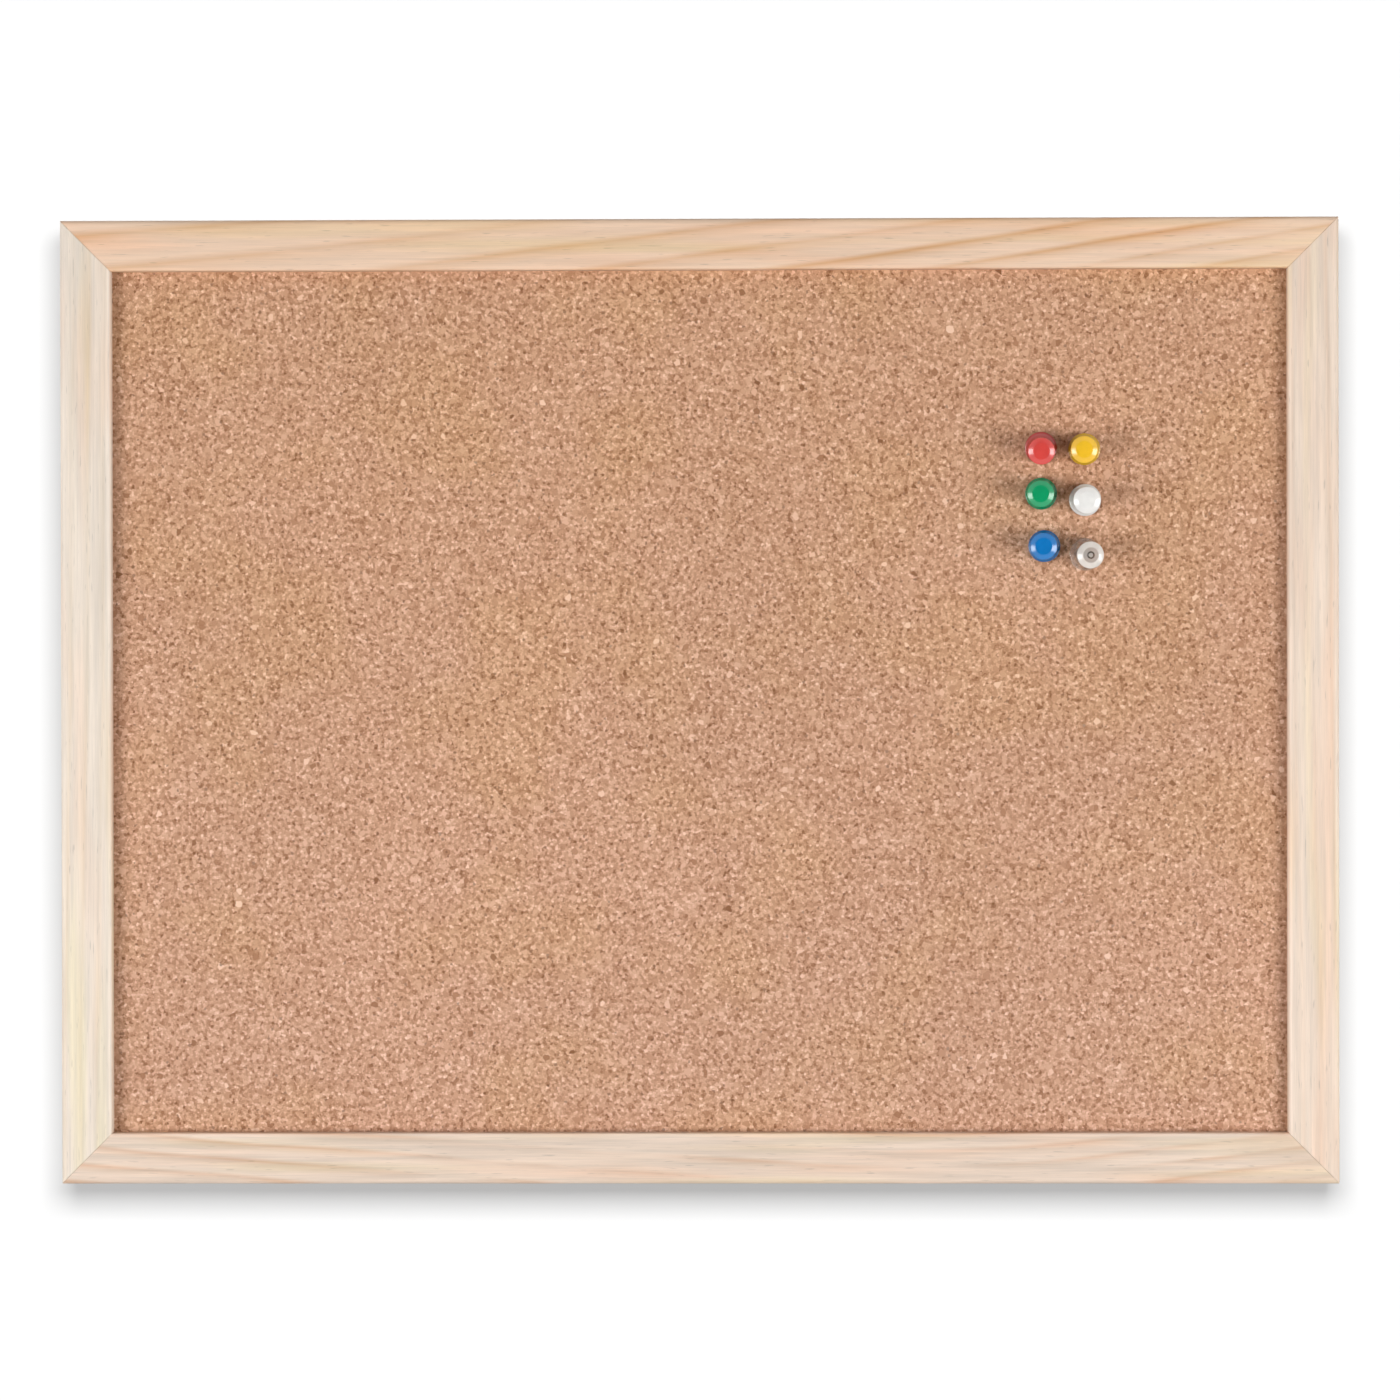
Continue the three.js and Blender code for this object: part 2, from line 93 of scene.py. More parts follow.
# %% Wire nodes
class Wiring:
    """A node tree with short calls for the nodes that this lesson uses."""

    MEASURES = ("LENGTH", "DISTANCE", "DOT_PRODUCT")

    def __init__(self, tree):
        self.tree = tree

    def add(self, kind, inputs=None, **options):
        node = self.tree.nodes.new(kind)
        for name, value in options.items():
            setattr(node, name, value)
        return self.fill(node, inputs or {})

    def fill(self, node, inputs):
        for key, value in inputs.items():
            self.feed(node.inputs[key], value)
        return node

    def feed(self, socket, value):
        if isinstance(value, bpy.types.NodeSocket):
            self.tree.links.new(value, socket)
        else:
            socket.default_value = value

    def math(self, operation, first, second=0.0):
        return self.add("ShaderNodeMath", {0: first, 1: second}, operation=operation).outputs[0]

    def vector(self, x, y, z):
        return self.add("ShaderNodeCombineXYZ", {0: x, 1: y, 2: z}).outputs[0]

    def split(self, vector):
        return self.add("ShaderNodeSeparateXYZ", {0: vector}).outputs

    def vectors(self, operation, first, second=(0, 0, 0)):
        """A sum on vectors: a vector, or a number where the sum measures something."""
        outputs = self.add("ShaderNodeVectorMath", {0: first, 1: second}, operation=operation).outputs
        return outputs["Value" if operation in self.MEASURES else "Vector"]

    def scaled(self, vector, factors):
        return self.vectors("MULTIPLY", vector, factors)

    def moved(self, geometry, offset):
        inputs = {"Geometry": geometry, "Offset": offset}
        return self.add("GeometryNodeSetPosition", inputs).outputs[0]

    def noise(self, vector, scale, detail=2.0, roughness=0.5):
        inputs = {"Vector": vector, "Scale": scale, "Detail": detail, "Roughness": roughness}
        return self.add("ShaderNodeTexNoise", inputs).outputs["Fac"]

    def cells(self, vector, scale, feature="F1"):
        inputs = {"Vector": vector, "Scale": scale}
        return self.add("ShaderNodeTexVoronoi", inputs, feature=feature).outputs

    def band(self, value, low, high, to_low=0.0, to_high=1.0):
        inputs = {0: value, 1: low, 2: high, 3: to_low, 4: to_high}
        return self.add("ShaderNodeMapRange", inputs, interpolation_type="SMOOTHSTEP").outputs[0]

    def ramp(self, value, stops):
        node = self.add("ShaderNodeValToRGB", {0: value})
        elements = node.color_ramp.elements
        while len(elements) < len(stops):
            elements.new(1.0)
        for element, (position, colour) in zip(elements, stops):
            element.position = position
            element.color = (*colour, 1)
        return node.outputs[0]

    def mix(self, share, first, second, blend="MIX"):
        node = self.add("ShaderNodeMix", data_type="RGBA", blend_type=blend)
        colour = lambda c: c if isinstance(c, bpy.types.NodeSocket) else (*c, 1)
        for index, value in ((0, share), (6, colour(first)), (7, colour(second))):
            self.feed(node.inputs[index], value)
        return node.outputs[2]

    def choose(self, share, first, second):
        """One number or the other, by a share from nought to one."""
        return self.add("ShaderNodeMix", {0: share, 2: first, 3: second}).outputs[0]

    def shade(self, colour, amount):
        """The colour times an amount, for streaks and specks."""
        return self.mix(1.0, colour, self.vector(amount, amount, amount), "MULTIPLY")


def linear(red, green, blue):
    """A colour as a screen shows it, 0 to 255, in the linear light that shaders take."""
    channel = lambda c: c / 12.92 if c <= 0.04045 else ((c + 0.055) / 1.055) ** 2.4
    return tuple(channel(c / 255) for c in (red, green, blue))


def finish(name):
    """A new material: its wiring, its surface shader and the place on the piece."""
    material = bpy.data.materials.new(name)
    material.use_nodes = True
    wiring = Wiring(material.node_tree)
    shader = material.node_tree.nodes["Principled BSDF"]
    place = wiring.add("ShaderNodeTexCoord").outputs["Object"]
    return material, wiring, shader, place


def bump(wiring, shader, height, strength, depth):
    inputs = {"Height": height, "Strength": strength, "Distance": depth}
    wiring.feed(shader.inputs["Normal"], wiring.add("ShaderNodeBump", inputs).outputs[0])


print("short calls:", [name for name in vars(Wiring) if name.isalpha() and name.islower()])

# %% [markdown]
# ## Shapes
# Three helpers make most of the meshes: an outline whose corners are filleted, a turned shape from such an
# outline, and a piece that takes the name of its body and the CAD nodes it stands for.
# Modifiers that ease an edge or cut a hole are taken as plain meshes at once, so nothing stays live.

# %% Outlines
FILLET_STEPS = 6


def filleted(corners, steps=FILLET_STEPS):
    """An open or closed outline of (x, y, radius) corners, with each corner turned into an arc."""
    points = []
    for i, (x, y, radius) in enumerate(corners):
        here = Vector((x, y))
        before = Vector(corners[i - 1][:2]) - here
        after = Vector(corners[(i + 1) % len(corners)][:2]) - here
        if radius <= 0 or before.length == 0 or after.length == 0:
            points.append(here)
            continue
        before.normalize()
        after.normalize()
        half = before.angle(after) / 2
        centre = here + (before + after).normalized() * (radius / math.sin(half))
        start = here + before * (radius / math.tan(half)) - centre
        end = here + after * (radius / math.tan(half)) - centre
        sweep = start.angle_signed(end)
        for step in range(steps + 1):
            turn = Matrix.Rotation(-sweep * step / steps, 2)
            points.append(centre + turn @ start)
    return points


print("a filleted corner has", FILLET_STEPS + 1, "points")

# %% Meshes
WELD = 1e-7
NEAR = 1e-6


def plain_mesh(shape, name):
    """A finished mesh from a bmesh, with its faces pointing outwards."""
    bmesh.ops.remove_doubles(shape, verts=shape.verts, dist=WELD)
    bmesh.ops.recalc_face_normals(shape, faces=shape.faces)
    mesh = bpy.data.meshes.new(name)
    shape.to_mesh(mesh)
    shape.free()
    return mesh


def cleaned(mesh, name):
    """The mesh with doubled points joined and its faces pointing outwards."""
    shape = bmesh.new()
    shape.from_mesh(mesh)
    return plain_mesh(shape, name)


def walled(shape, low, high):
    """Faces between two rings of as many points each."""
    for i in range(len(low)):
        j = (i + 1) % len(low)
        shape.faces.new([low[i], low[j], high[j], high[i]])


def turned(name, outline, sides, place):
    """A shape turned about +Z from an outline of (radius, height) that starts and ends on the axis."""
    shape = bmesh.new()
    rings = []
    for radius, height in outline:
        angles = [2 * math.pi * i / sides for i in range(sides if radius > WELD else 1)]
        ring = [(radius * math.cos(a), radius * math.sin(a), height) for a in angles]
        rings.append([shape.verts.new(place @ Vector(p)) for p in ring])
    for low, high in zip(rings, rings[1:]):
        for i in range(sides):
            j = (i + 1) % sides
            quad = [low[i % len(low)], low[j % len(low)], high[j % len(high)], high[i % len(high)]]
            corners = list(dict.fromkeys(quad))
            if len(corners) > 2:
                shape.faces.new(corners)
    return plain_mesh(shape, name)


def smooth(mesh, angle=35):
    mesh.shade_smooth()
    mesh.set_sharp_from_angle(angle=math.radians(angle))
    return mesh


print("points within", WELD, "m of each other become one")


# %% Modifiers as plain meshes, and finished pieces
def temporary(name, mesh):
    obj = bpy.data.objects.new(name, mesh)
    bpy.context.scene.collection.objects.link(obj)
    return obj


def evaluated_mesh(obj):
    """The plain mesh that an object's modifiers make. The object is removed."""
    bpy.context.view_layer.update()
    graph = bpy.context.evaluated_depsgraph_get()
    mesh = bpy.data.meshes.new_from_object(obj.evaluated_get(graph))
    bpy.data.objects.remove(obj)
    return mesh


def eased(mesh, width, segments=2, angle=30):
    """The mesh with its sharp edges slightly rounded, as sanding or tumbling leaves them."""
    obj = temporary("eased", mesh)
    bevel = obj.modifiers.new("ease", "BEVEL")
    bevel.width = width
    bevel.segments = segments
    bevel.limit_method = "ANGLE"
    bevel.angle_limit = math.radians(angle)
    return evaluated_mesh(obj)


def cut_by(mesh, cutter_mesh):
    """The mesh with a cutter's shape taken out of it."""
    cutter = temporary("cutter", cutter_mesh)
    obj = temporary("cut", mesh)
    boolean = obj.modifiers.new("cut", "BOOLEAN")
    boolean.operation = "DIFFERENCE"
    boolean.solver = "EXACT"
    boolean.object = cutter
    made = evaluated_mesh(obj)
    bpy.data.objects.remove(cutter)
    return made


def piece(name, mesh, material, body, slot, *stands_for):
    """A finished piece at the origin that rides on a body and stands for CAD nodes."""
    mesh.materials.clear()
    mesh.materials.append(material)
    obj = temporary(name, mesh)
    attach(obj, body)
    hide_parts(*stands_for)
    print(f"{name}: {len(mesh.polygons)} faces on {body}")


print("CAD nodes to finish:", len(frame["nodes"]))

# %% [markdown]
# ## Geometry nodes
# A tree of geometry nodes suits a shape that follows a rule. Each tree has named inputs for its sizes. They
# are set on the modifier by the socket's identifier before the object is first evaluated, and the result is
# then taken as a plain mesh, so that nothing stays live in the finished scene.


# %% Make and run a geometry tree
def geometry_tree(name, inputs):
    """A new tree with a geometry input and the named inputs: its wiring, input sockets and output."""
    tree = bpy.data.node_groups.new(name, "GeometryNodeTree")
    tree.interface.new_socket("Geometry", in_out="INPUT", socket_type="NodeSocketGeometry")
    for label, kind in inputs.items():
        tree.interface.new_socket(label, in_out="INPUT", socket_type=f"NodeSocket{kind}")
    tree.interface.new_socket("Geometry", in_out="OUTPUT", socket_type="NodeSocketGeometry")
    wiring = Wiring(tree)
    return wiring, wiring.add("NodeGroupInput").outputs, wiring.add("NodeGroupOutput")


def end_tree(wiring, geometry, material, output):
    realized = wiring.add("GeometryNodeRealizeInstances", {"Geometry": geometry}).outputs[0]
    painted = wiring.add("GeometryNodeSetMaterial", {"Geometry": realized, "Material": material})
    wiring.feed(output.inputs[0], painted.outputs[0])


def run_tree(wiring, values, mesh):
    """The plain mesh that a tree makes from a mesh, with its named inputs set."""
    obj = temporary(wiring.tree.name, mesh)
    modifier = obj.modifiers.new(wiring.tree.name, "NODES")
    modifier.node_group = wiring.tree
    sockets = [s for s in wiring.tree.interface.items_tree if s.in_out == "INPUT"]
    identifiers = {s.name: s.identifier for s in sockets}
    for label, value in values.items():
        modifier[identifiers[label]] = value
    return evaluated_mesh(obj)


print("geometry trees so far:", len(bpy.data.node_groups))

# %% [markdown]
# ## Pine
# Pine shows growth rings where the saw crossed them: broad pale early wood, then a narrow amber line of late
# wood with one soft side and one sharp side. A ring pattern that runs along the rail, tilted a little and
# bent by slow noise, gives these lines on every face at once, because it is worked out in three dimensions.
# No two years are alike, so each ring has its own strength, and on one rail the rings gather to an end.
# Fibre streaks, fine threads and short resin dashes lie over them. A painted highlight lightens the lip's
# edge,
# and painted shade darkens the wall inside the lip. Each rail is its own stick of wood, so each has its own
# cut:
# how far apart its rings are, how they slope and how pale it is.

# %% Four cuts of pine
PINE_CUTS = {
    "top_rail": dict(
        along=0, slope=0.12, bow=0, bow_at=0, pitch=7.8, gather=1.6, first=3.7, wander=1.5,
        contrast=1.0, faint=0.45, seed=3.0, streak=0.06, lip_highlight=1.05,
        early=linear(238, 207, 181), late=linear(216, 166, 119),
    ),
    "bottom_rail": dict(
        along=0, slope=0.03, bow=0.1, bow_at=75, pitch=5.2, gather=0, first=1.5, wander=3.0,
        contrast=0.8, faint=0.0, seed=17.0, streak=0.12, lip_highlight=1.1,
        early=linear(236, 215, 197), late=linear(217, 173, 137),
    ),
    "left_stile": dict(
        along=2, slope=0.012, bow=0, bow_at=0, pitch=5.0, gather=0, first=0.7, wander=1.6,
        contrast=0.4, faint=0.3, seed=29.0, streak=0.08, lip_highlight=1.1,
        early=linear(245, 231, 216), late=linear(227, 204, 170),
    ),
    "right_stile": dict(
        along=2, slope=-0.016, bow=0, bow_at=0, pitch=5.4, gather=0, first=2.1, wander=2.2,
        contrast=0.5, faint=0.3, seed=41.0, streak=0.09, lip_highlight=1.1,
        early=linear(246, 226, 208), late=linear(229, 195, 165),
    ),
}
LIP_EDGES = {
    "top_rail": (1, TOP - FACE), "right_stile": (1, RIGHT - FACE),
    "bottom_rail": (-1, BOTTOM + FACE), "left_stile": (-1, LEFT + FACE),
}
print("pine cuts:", list(PINE_CUTS))

# %% [markdown]
# Every mark on the wood is a noise drawn out along the stick. One table holds its scale along the stick and
# across it, its detail and its roughness. A second table says how strongly each mark tells.

# %% Pine finish
LATE_WOOD = ((0.0, 0.0), (0.4, 0.08), (0.66, 0.5), (0.8, 1.0), (0.88, 0.6), (1.0, 0.0))
RING_DIP = 0.4
RING_BUMP = 0.6
YEAR_SLICE = 0.5
YEAR_SCALE = 1.37
BOW_WIDTH = 25 * MM
PINE_PINK = (1.02, 0.95, 0.91)
PINE_STRAW = (0.99, 1.0, 0.88)
# The painted highlight on the lip's edge fades out between these two distances.
LIP_PAINTED_HIGHLIGHT = (0.7 * MM, 1.5 * MM)
LIP_SKIN = 0.15 * MM
INNER_ROUND = 0.8 * MM
# How dark the painted shade on the wall inside the lip is.
LIP_WALL_PAINTED_SHADE = 0.85
PINE_MARKS = {
    "drift": ((9, 34, 34), 2.0, 0.5),
    "strength": ((14, 130, 130), 2.0, 0.5),
    "blush": ((12, 110, 110), 1.0, 0.5),
    "straw": ((8, 150, 150), 1.0, 0.5),
    "fibre": ((22, 1400, 1400), 4.0, 0.65),
    "grain": ((20, 480, 480), 3.0, 0.6),
    "thread": ((90, 6400, 6400), 2.0, 0.6),
    "dash": ((160, 1900, 1900), 1.0, 0.5),
}
PINE_BANDS = {
    "strength": (0.3, 0.65), "year": (0.3, 0.6, 0.6, 1.0), "blush": (0.45, 0.7), "straw": (0.5, 0.75),
    "fibre": (0.25, 0.75, 0.95, 1.03), "grain": (0.3, 0.7), "thread": (0.3, 0.7, 0.955, 1.03),
    "dash": (0.66, 0.78, 1.0, 0.8), "rough": (0.2, 0.8, 0.5, 0.66),
}
PINE_GLOSS = 0.3
PINE_RELIEF = dict(strength=0.35, depth=0.06 * MM)


def pine(
    name, along, slope, bow, bow_at, pitch, gather, first, wander,
    contrast, faint, seed, streak, lip_highlight, early, late,
):
    """One stick's finish: amber rings, marks along the grain, a painted highlight on the lip and painted
    shade inside it.
    """
    material, w, shader, place = finish(f"pine_{name}")
    axes = w.split(place)
    length, depth, across = axes[along], axes[1], axes[2 - along]
    stick = w.vector(length, w.math("ADD", across, seed), depth)

    def mark(kind):
        stretch, detail, roughness = PINE_MARKS[kind]
        return w.noise(w.scaled(stick, stretch), 1.0, detail, roughness)

    ring = w.math("SUBTRACT", across, w.math("MULTIPLY", length, slope))
    if bow:
        run = w.math("SUBTRACT", length, bow_at * MM)
        arch = w.math("SQRT", w.math("ADD", w.math("MULTIPLY", run, run), BOW_WIDTH**2))
        ring = w.math("SUBTRACT", ring, w.math("MULTIPLY", arch, bow))
    ring = w.math("ADD", ring, w.math("MULTIPLY", w.math("SUBTRACT", depth, FRONT), RING_DIP))
    drift = w.math("SUBTRACT", mark("drift"), 0.5)
    ring = w.math("ADD", ring, w.math("MULTIPLY", drift, 2 * wander * MM))
    phase = w.math("DIVIDE", w.math("SUBTRACT", ring, first * MM), pitch * MM)
    if gather:
        phase = w.math("MULTIPLY", phase, w.math("ADD", w.math("MULTIPLY", length, gather), 1.0))
    line = w.ramp(w.math("FRACT", phase), [(at, (share,) * 3) for at, share in LATE_WOOD])
    year = w.noise(w.vector(w.math("FLOOR", phase), seed, YEAR_SLICE), YEAR_SCALE, 0.0)
    strength = w.band(mark("strength"), *PINE_BANDS["strength"], faint, 1.0)
    strength = w.math("MULTIPLY", strength, w.band(year, *PINE_BANDS["year"]))
    amber = w.math("MULTIPLY", w.math("MULTIPLY", line, strength), contrast)
    colour = w.mix(amber, early, late)
    for kind, tint in (("blush", PINE_PINK), ("straw", PINE_STRAW)):
        colour = w.mix(w.band(mark(kind), *PINE_BANDS[kind]), colour, tint, "MULTIPLY")
    fibre = mark("fibre")
    colour = w.shade(colour, w.band(fibre, *PINE_BANDS["fibre"]))
    colour = w.shade(colour, w.band(mark("grain"), *PINE_BANDS["grain"], 1.0 - streak, 1.0 + streak / 2))
    for kind in ("thread", "dash"):
        colour = w.shade(colour, w.band(mark(kind), *PINE_BANDS[kind]))
    outwards, edge = LIP_EDGES[name]
    from_lip = w.math("MULTIPLY", w.math("SUBTRACT", across, edge), outwards)
    # Painted highlight: the band along the lip's edge is lightened.
    colour = w.shade(colour, w.band(from_lip, *LIP_PAINTED_HIGHLIGHT, lip_highlight, 1.0))
    # Painted shade: the wall inside the lip, below its rounded edge, is darkened.
    inside = w.math("LESS_THAN", from_lip, LIP_SKIN)
    painted_wall_shade = w.math("MULTIPLY", inside, w.band(depth, FRONT + INNER_ROUND, FRONT + 2 * INNER_ROUND))
    colour = w.shade(colour, w.band(painted_wall_shade, 0.0, 1.0, 1.0, LIP_WALL_PAINTED_SHADE))
    rough = w.band(fibre, *PINE_BANDS["rough"])
    w.fill(shader, {"Base Color": colour, "Roughness": rough, "Specular IOR Level": PINE_GLOSS})
    bump(w, shader, w.math("ADD", fibre, w.math("MULTIPLY", amber, RING_BUMP)), **PINE_RELIEF)
    return material


pine_finishes = {name: pine(name, **cut) for name, cut in PINE_CUTS.items()}
print("pine finishes:", list(pine_finishes))

# %% [markdown]
# ## The mitred frame
# The frame is one rebated moulding cut into four lengths at 45 degrees. A tree of geometry nodes does what
# the saw does: it extrudes the section, closes both ends, then pulls every point back from the end by its
# distance from the outer edge, which is what a mitre is. The section has a rounded outer edge, a smaller
# round at the lip and a square rebate behind. A fine bevel eases the arrises, so that the mitres show as
# hairlines. Each V-nail's pocket is cut into the back before that.

# %% Moulding section and mitre tree
OUTER_ROUND = 2.0 * MM
MITRE_GAP = 0.08 * MM
ARRIS = 0.1 * MM


def moulding_section():
    """The section as a face: inwards from the outer edge is -Z, forwards from the back is -Y."""
    seat = DEPTH - LIP
    corners = [
        (0, 0, 0),
        (BACK_FACE, 0, 0),
        (BACK_FACE, seat, 0),
        (FACE, seat, 0),
        (FACE, DEPTH, INNER_ROUND),
        (0, DEPTH, OUTER_ROUND),
    ]
    shape = bmesh.new()
    shape.faces.new([shape.verts.new((0, -y, -x)) for x, y in filleted(corners)])
    return plain_mesh(shape, "moulding_section")


def mitre_tree():
    w, given, output = geometry_tree("Mitred moulding", {"Length": "Float", "Pull back": "Float"})
    half = w.math("DIVIDE", given["Length"], 2.0)
    start = w.moved(given["Geometry"], w.vector(w.math("MULTIPLY", half, -1.0), 0.0, 0.0))
    along = w.vector(given["Length"], 0.0, 0.0)
    inputs = {"Mesh": start, "Offset": along, "Offset Scale": 1.0, "Individual": False}
    extruded = w.add("GeometryNodeExtrudeMesh", inputs, mode="FACES").outputs[0]
    cap = w.add("GeometryNodeFlipFaces", {"Mesh": start}).outputs[0]
    joined = w.add("GeometryNodeJoinGeometry")
    for part in (extruded, cap):
        w.feed(joined.inputs[0], part)
    inputs = {"Geometry": joined.outputs[0], "Distance": NEAR}
    closed = w.add("GeometryNodeMergeByDistance", inputs).outputs[0]
    x, _, z = w.split(w.add("GeometryNodeInputPosition").outputs[0])
    inwards = w.math("SUBTRACT", given["Pull back"], z)
    shift = w.math("MULTIPLY", w.math("SIGN", x), w.math("MULTIPLY", inwards, -1.0))
    mitred = w.moved(closed, w.vector(shift, 0.0, 0.0))
    end_tree(w, mitred, pine_finishes["top_rail"], output)
    return w


moulding_tree = mitre_tree()
SIDES = {
    "top_rail": (0, TOP - CENTRE.z, RIGHT - LEFT),
    "right_stile": (90, RIGHT, TOP - BOTTOM),
    "bottom_rail": (180, TOP - CENTRE.z, RIGHT - LEFT),
    "left_stile": (-90, RIGHT, TOP - BOTTOM),
}


def side_place(name):
    turn, out, _ = SIDES[name]
    spun = Matrix.Rotation(math.radians(turn), 4, "Y")
    return Matrix.Translation(CENTRE) @ spun @ Matrix.Translation((0, 0, out))


print(moulding_tree.tree.name, "has", len(moulding_tree.tree.nodes), "nodes")

# %% [markdown]
# ## Fasteners that repeat
# Corner nails and panel points are each one small steel shape used many times. Each is drawn once, as a
# template, and a second tree will put a copy on every place it is given, turned as that place says. The
# places come from the CAD nodes' own boxes.

# %% Corner nails and panel points as templates
NAIL_WING = 4.5 * MM
NAIL_THICKNESS = 0.8 * MM
NAIL_ANGLE = math.radians(40)
NAIL_PLAY = 0.12 * MM
POINT_EASE = 0.08 * MM


def prism(name, outline, low, high):
    """A flat outline in X and Z with a thickness from low to high along Y."""
    shape = bmesh.new()
    face = shape.faces.new([shape.verts.new((x, low, z)) for x, z in outline])
    raised = bmesh.ops.extrude_face_region(shape, geom=[face])["geom"]
    for vert in raised:
        if isinstance(vert, bmesh.types.BMVert):
            vert.co.y = high
    return plain_mesh(shape, name)


def nail_outline(grow):
    """The V seen from behind, with its apex at the origin and its wings spread about +X."""
    half = NAIL_THICKNESS / 2 + grow
    wing = NAIL_WING + grow
    sin, cos = math.sin(NAIL_ANGLE), math.cos(NAIL_ANGLE)
    outer = Vector((wing * cos - half * sin, wing * sin + half * cos))
    inner = Vector((wing * cos + half * sin, wing * sin - half * cos))
    upper = [(half / sin, 0), tuple(inner), tuple(outer), (-half / sin, 0)]
    return upper + [(outer.x, -outer.y), (inner.x, -inner.y)]


def point_outline(node):
    """A panel point seen from behind, about the middle of its box, with its tip along +X."""
    low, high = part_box(node)
    length, width = sorted((high.x - low.x, high.z - low.z), reverse=True)
    tail, tip, half = -length / 2, length / 2, width / 2
    return [(tail, -half), (tip - half, -half), (tip, 0), (tip - half, half), (tail, half)]


NAILS = {
    "top_left": (-1, 1), "top_right": (1, 1), "bottom_right": (1, -1), "bottom_left": (-1, -1),
}
nail_low, nail_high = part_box("corner_nail_top_left")
nail_template = prism("corner_nail", nail_outline(0), nail_low.y, nail_high.y)
nail_pocket = prism("nail_pocket", nail_outline(NAIL_PLAY), nail_low.y, BACK + MM)
print("corner nail reaches", round(1000 * (BACK - nail_low.y), 2), "mm into the wood")


def nail_place(corner):
    """Where a nail's apex is and how its V is turned, so that it opens along the mitre."""
    right, up = NAILS[corner]
    low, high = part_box(f"corner_nail_{corner}")
    apex_x = high.x if right > 0 else low.x
    apex_z = high.z if up > 0 else low.z
    reach = NAIL_THICKNESS / 2 / math.sin(NAIL_ANGLE)
    apex = Vector((apex_x, 0, apex_z)) + Vector((-right, 0, -up)) * (reach / math.sqrt(2))
    return apex, math.atan2(up, -right)


# %% Frame pieces
def rail_mesh(name):
    _, _, length = SIDES[name]
    values = {"Length": length, "Pull back": MITRE_GAP / 2}
    mesh = run_tree(moulding_tree, values, moulding_section())
    mesh.transform(side_place(name))
    pockets = bmesh.new()
    for corner in NAILS:
        apex, turn = nail_place(corner)
        copy = nail_pocket.copy()
        copy.transform(Matrix.Translation(apex) @ Matrix.Rotation(turn, 4, "Y"))
        pockets.from_mesh(copy)
    cut = cut_by(cleaned(mesh, name), plain_mesh(pockets, "nail_pockets"))
    return smooth(eased(cut, ARRIS), angle=28)


for rail in SIDES:
    piece(f"pine_{rail}", rail_mesh(rail), pine_finishes[rail], "board", "pine", rail)

# %% [markdown]
# ## Bright steel and zinc plate
# Nails, points and needles are bare bright steel, the hangers are zinc plated. Both are metals whose surface
# is never even: plating grows in small cells of slightly different brightness, drawing leaves fine lines, and
# handling leaves dull patches. Cells, stretched noise and slow noise give these three, at a real scale.

# %% Metal finishes
METAL_HANDLED = dict(scale=420.0, detail=3.0)
METAL_DRAWN = (900, 900, 9000)
METAL_BANDS = {"grown": (0.0, 1.0, 0.9, 1.04), "handled": (0.3, 0.75, 1.0, 0.86), "rough": (0.3, 0.7)}
METAL_RELIEF = dict(strength=0.25, depth=0.02 * MM)


def metal(name, colour, cell, bright, dull):
    """A metal with cells of one size, and its roughness where it is bright and where it is dull."""
    material, w, shader, place = finish(name)
    grown = w.split(w.cells(place, 1 / cell)["Color"])[0]
    handled = w.noise(place, **METAL_HANDLED)
    lines = w.noise(w.scaled(place, METAL_DRAWN), 1.0, 2.0)
    tone = w.band(grown, *METAL_BANDS["grown"])
    tone = w.math("MULTIPLY", tone, w.band(handled, *METAL_BANDS["handled"]))
    rough = w.band(handled, *METAL_BANDS["rough"], bright, dull)
    w.fill(shader, {"Base Color": w.shade(colour, tone), "Roughness": rough, "Metallic": 1.0})
    bump(w, shader, w.math("ADD", lines, grown), **METAL_RELIEF)
    return material


steel = metal("bright_steel", linear(205, 205, 207), cell=1.5 * MM, bright=0.22, dull=0.42)
zinc = metal("zinc_plate", linear(196, 199, 204), cell=0.9 * MM, bright=0.26, dull=0.46)
print("metals:", steel.name, zinc.name)

# %% [markdown]
# ## Nails and points on their places
# The tree takes a mesh of bare points, each with a turn, and sets one copy of the template on each. One tree
# serves every fastener that repeats; only the template and the places change.


# %% Copies of a template on places
def copies_tree():
    w, given, output = geometry_tree("Copies on places", {"Template": "Object"})
    template = w.add("GeometryNodeObjectInfo", {"Object": given["Template"]}).outputs["Geometry"]
    turn = w.add("GeometryNodeInputNamedAttribute", {"Name": "turn"}, data_type="FLOAT_VECTOR").outputs[0]
    rotation = w.add("FunctionNodeEulerToRotation", {0: turn}).outputs[0]
    points = w.add("GeometryNodeMeshToPoints", {"Mesh": given["Geometry"]}).outputs[0]
    inputs = {"Points": points, "Instance": template, "Rotation": rotation}
    copies = w.add("GeometryNodeInstanceOnPoints", inputs).outputs[0]
    end_tree(w, copies, steel, output)
    return w


fastener_tree = copies_tree()


def copies(template_mesh, places):
    """One mesh with a copy of the template at each (place, turn about Y)."""
    template = temporary("template", template_mesh)
    mesh = bpy.data.meshes.new("places")
    mesh.from_pydata([tuple(place) for place, _ in places], [], [])
    turns = mesh.attributes.new("turn", "FLOAT_VECTOR", "POINT")
    for entry, (_, turn) in zip(turns.data, places):
        entry.vector = (0, turn, 0)
    made = run_tree(fastener_tree, {"Template": template}, mesh)
    bpy.data.objects.remove(template)
    return made


print(fastener_tree.tree.name, "has", len(fastener_tree.tree.nodes), "nodes")

# %% Nails and points
nail_nodes = [f"corner_nail_{corner}" for corner in NAILS]
nails = copies(smooth(eased(nail_template, POINT_EASE)), [nail_place(corner) for corner in NAILS])
piece("steel_corner_nails", nails, steel, "board", "steel", *nail_nodes)

POINT_TURNS = {"top_rail": -90, "right_stile": 0, "bottom_rail": 90, "left_stile": 180}
point_nodes = [name for name in frame["nodes"] if name.startswith("panel_point_")]


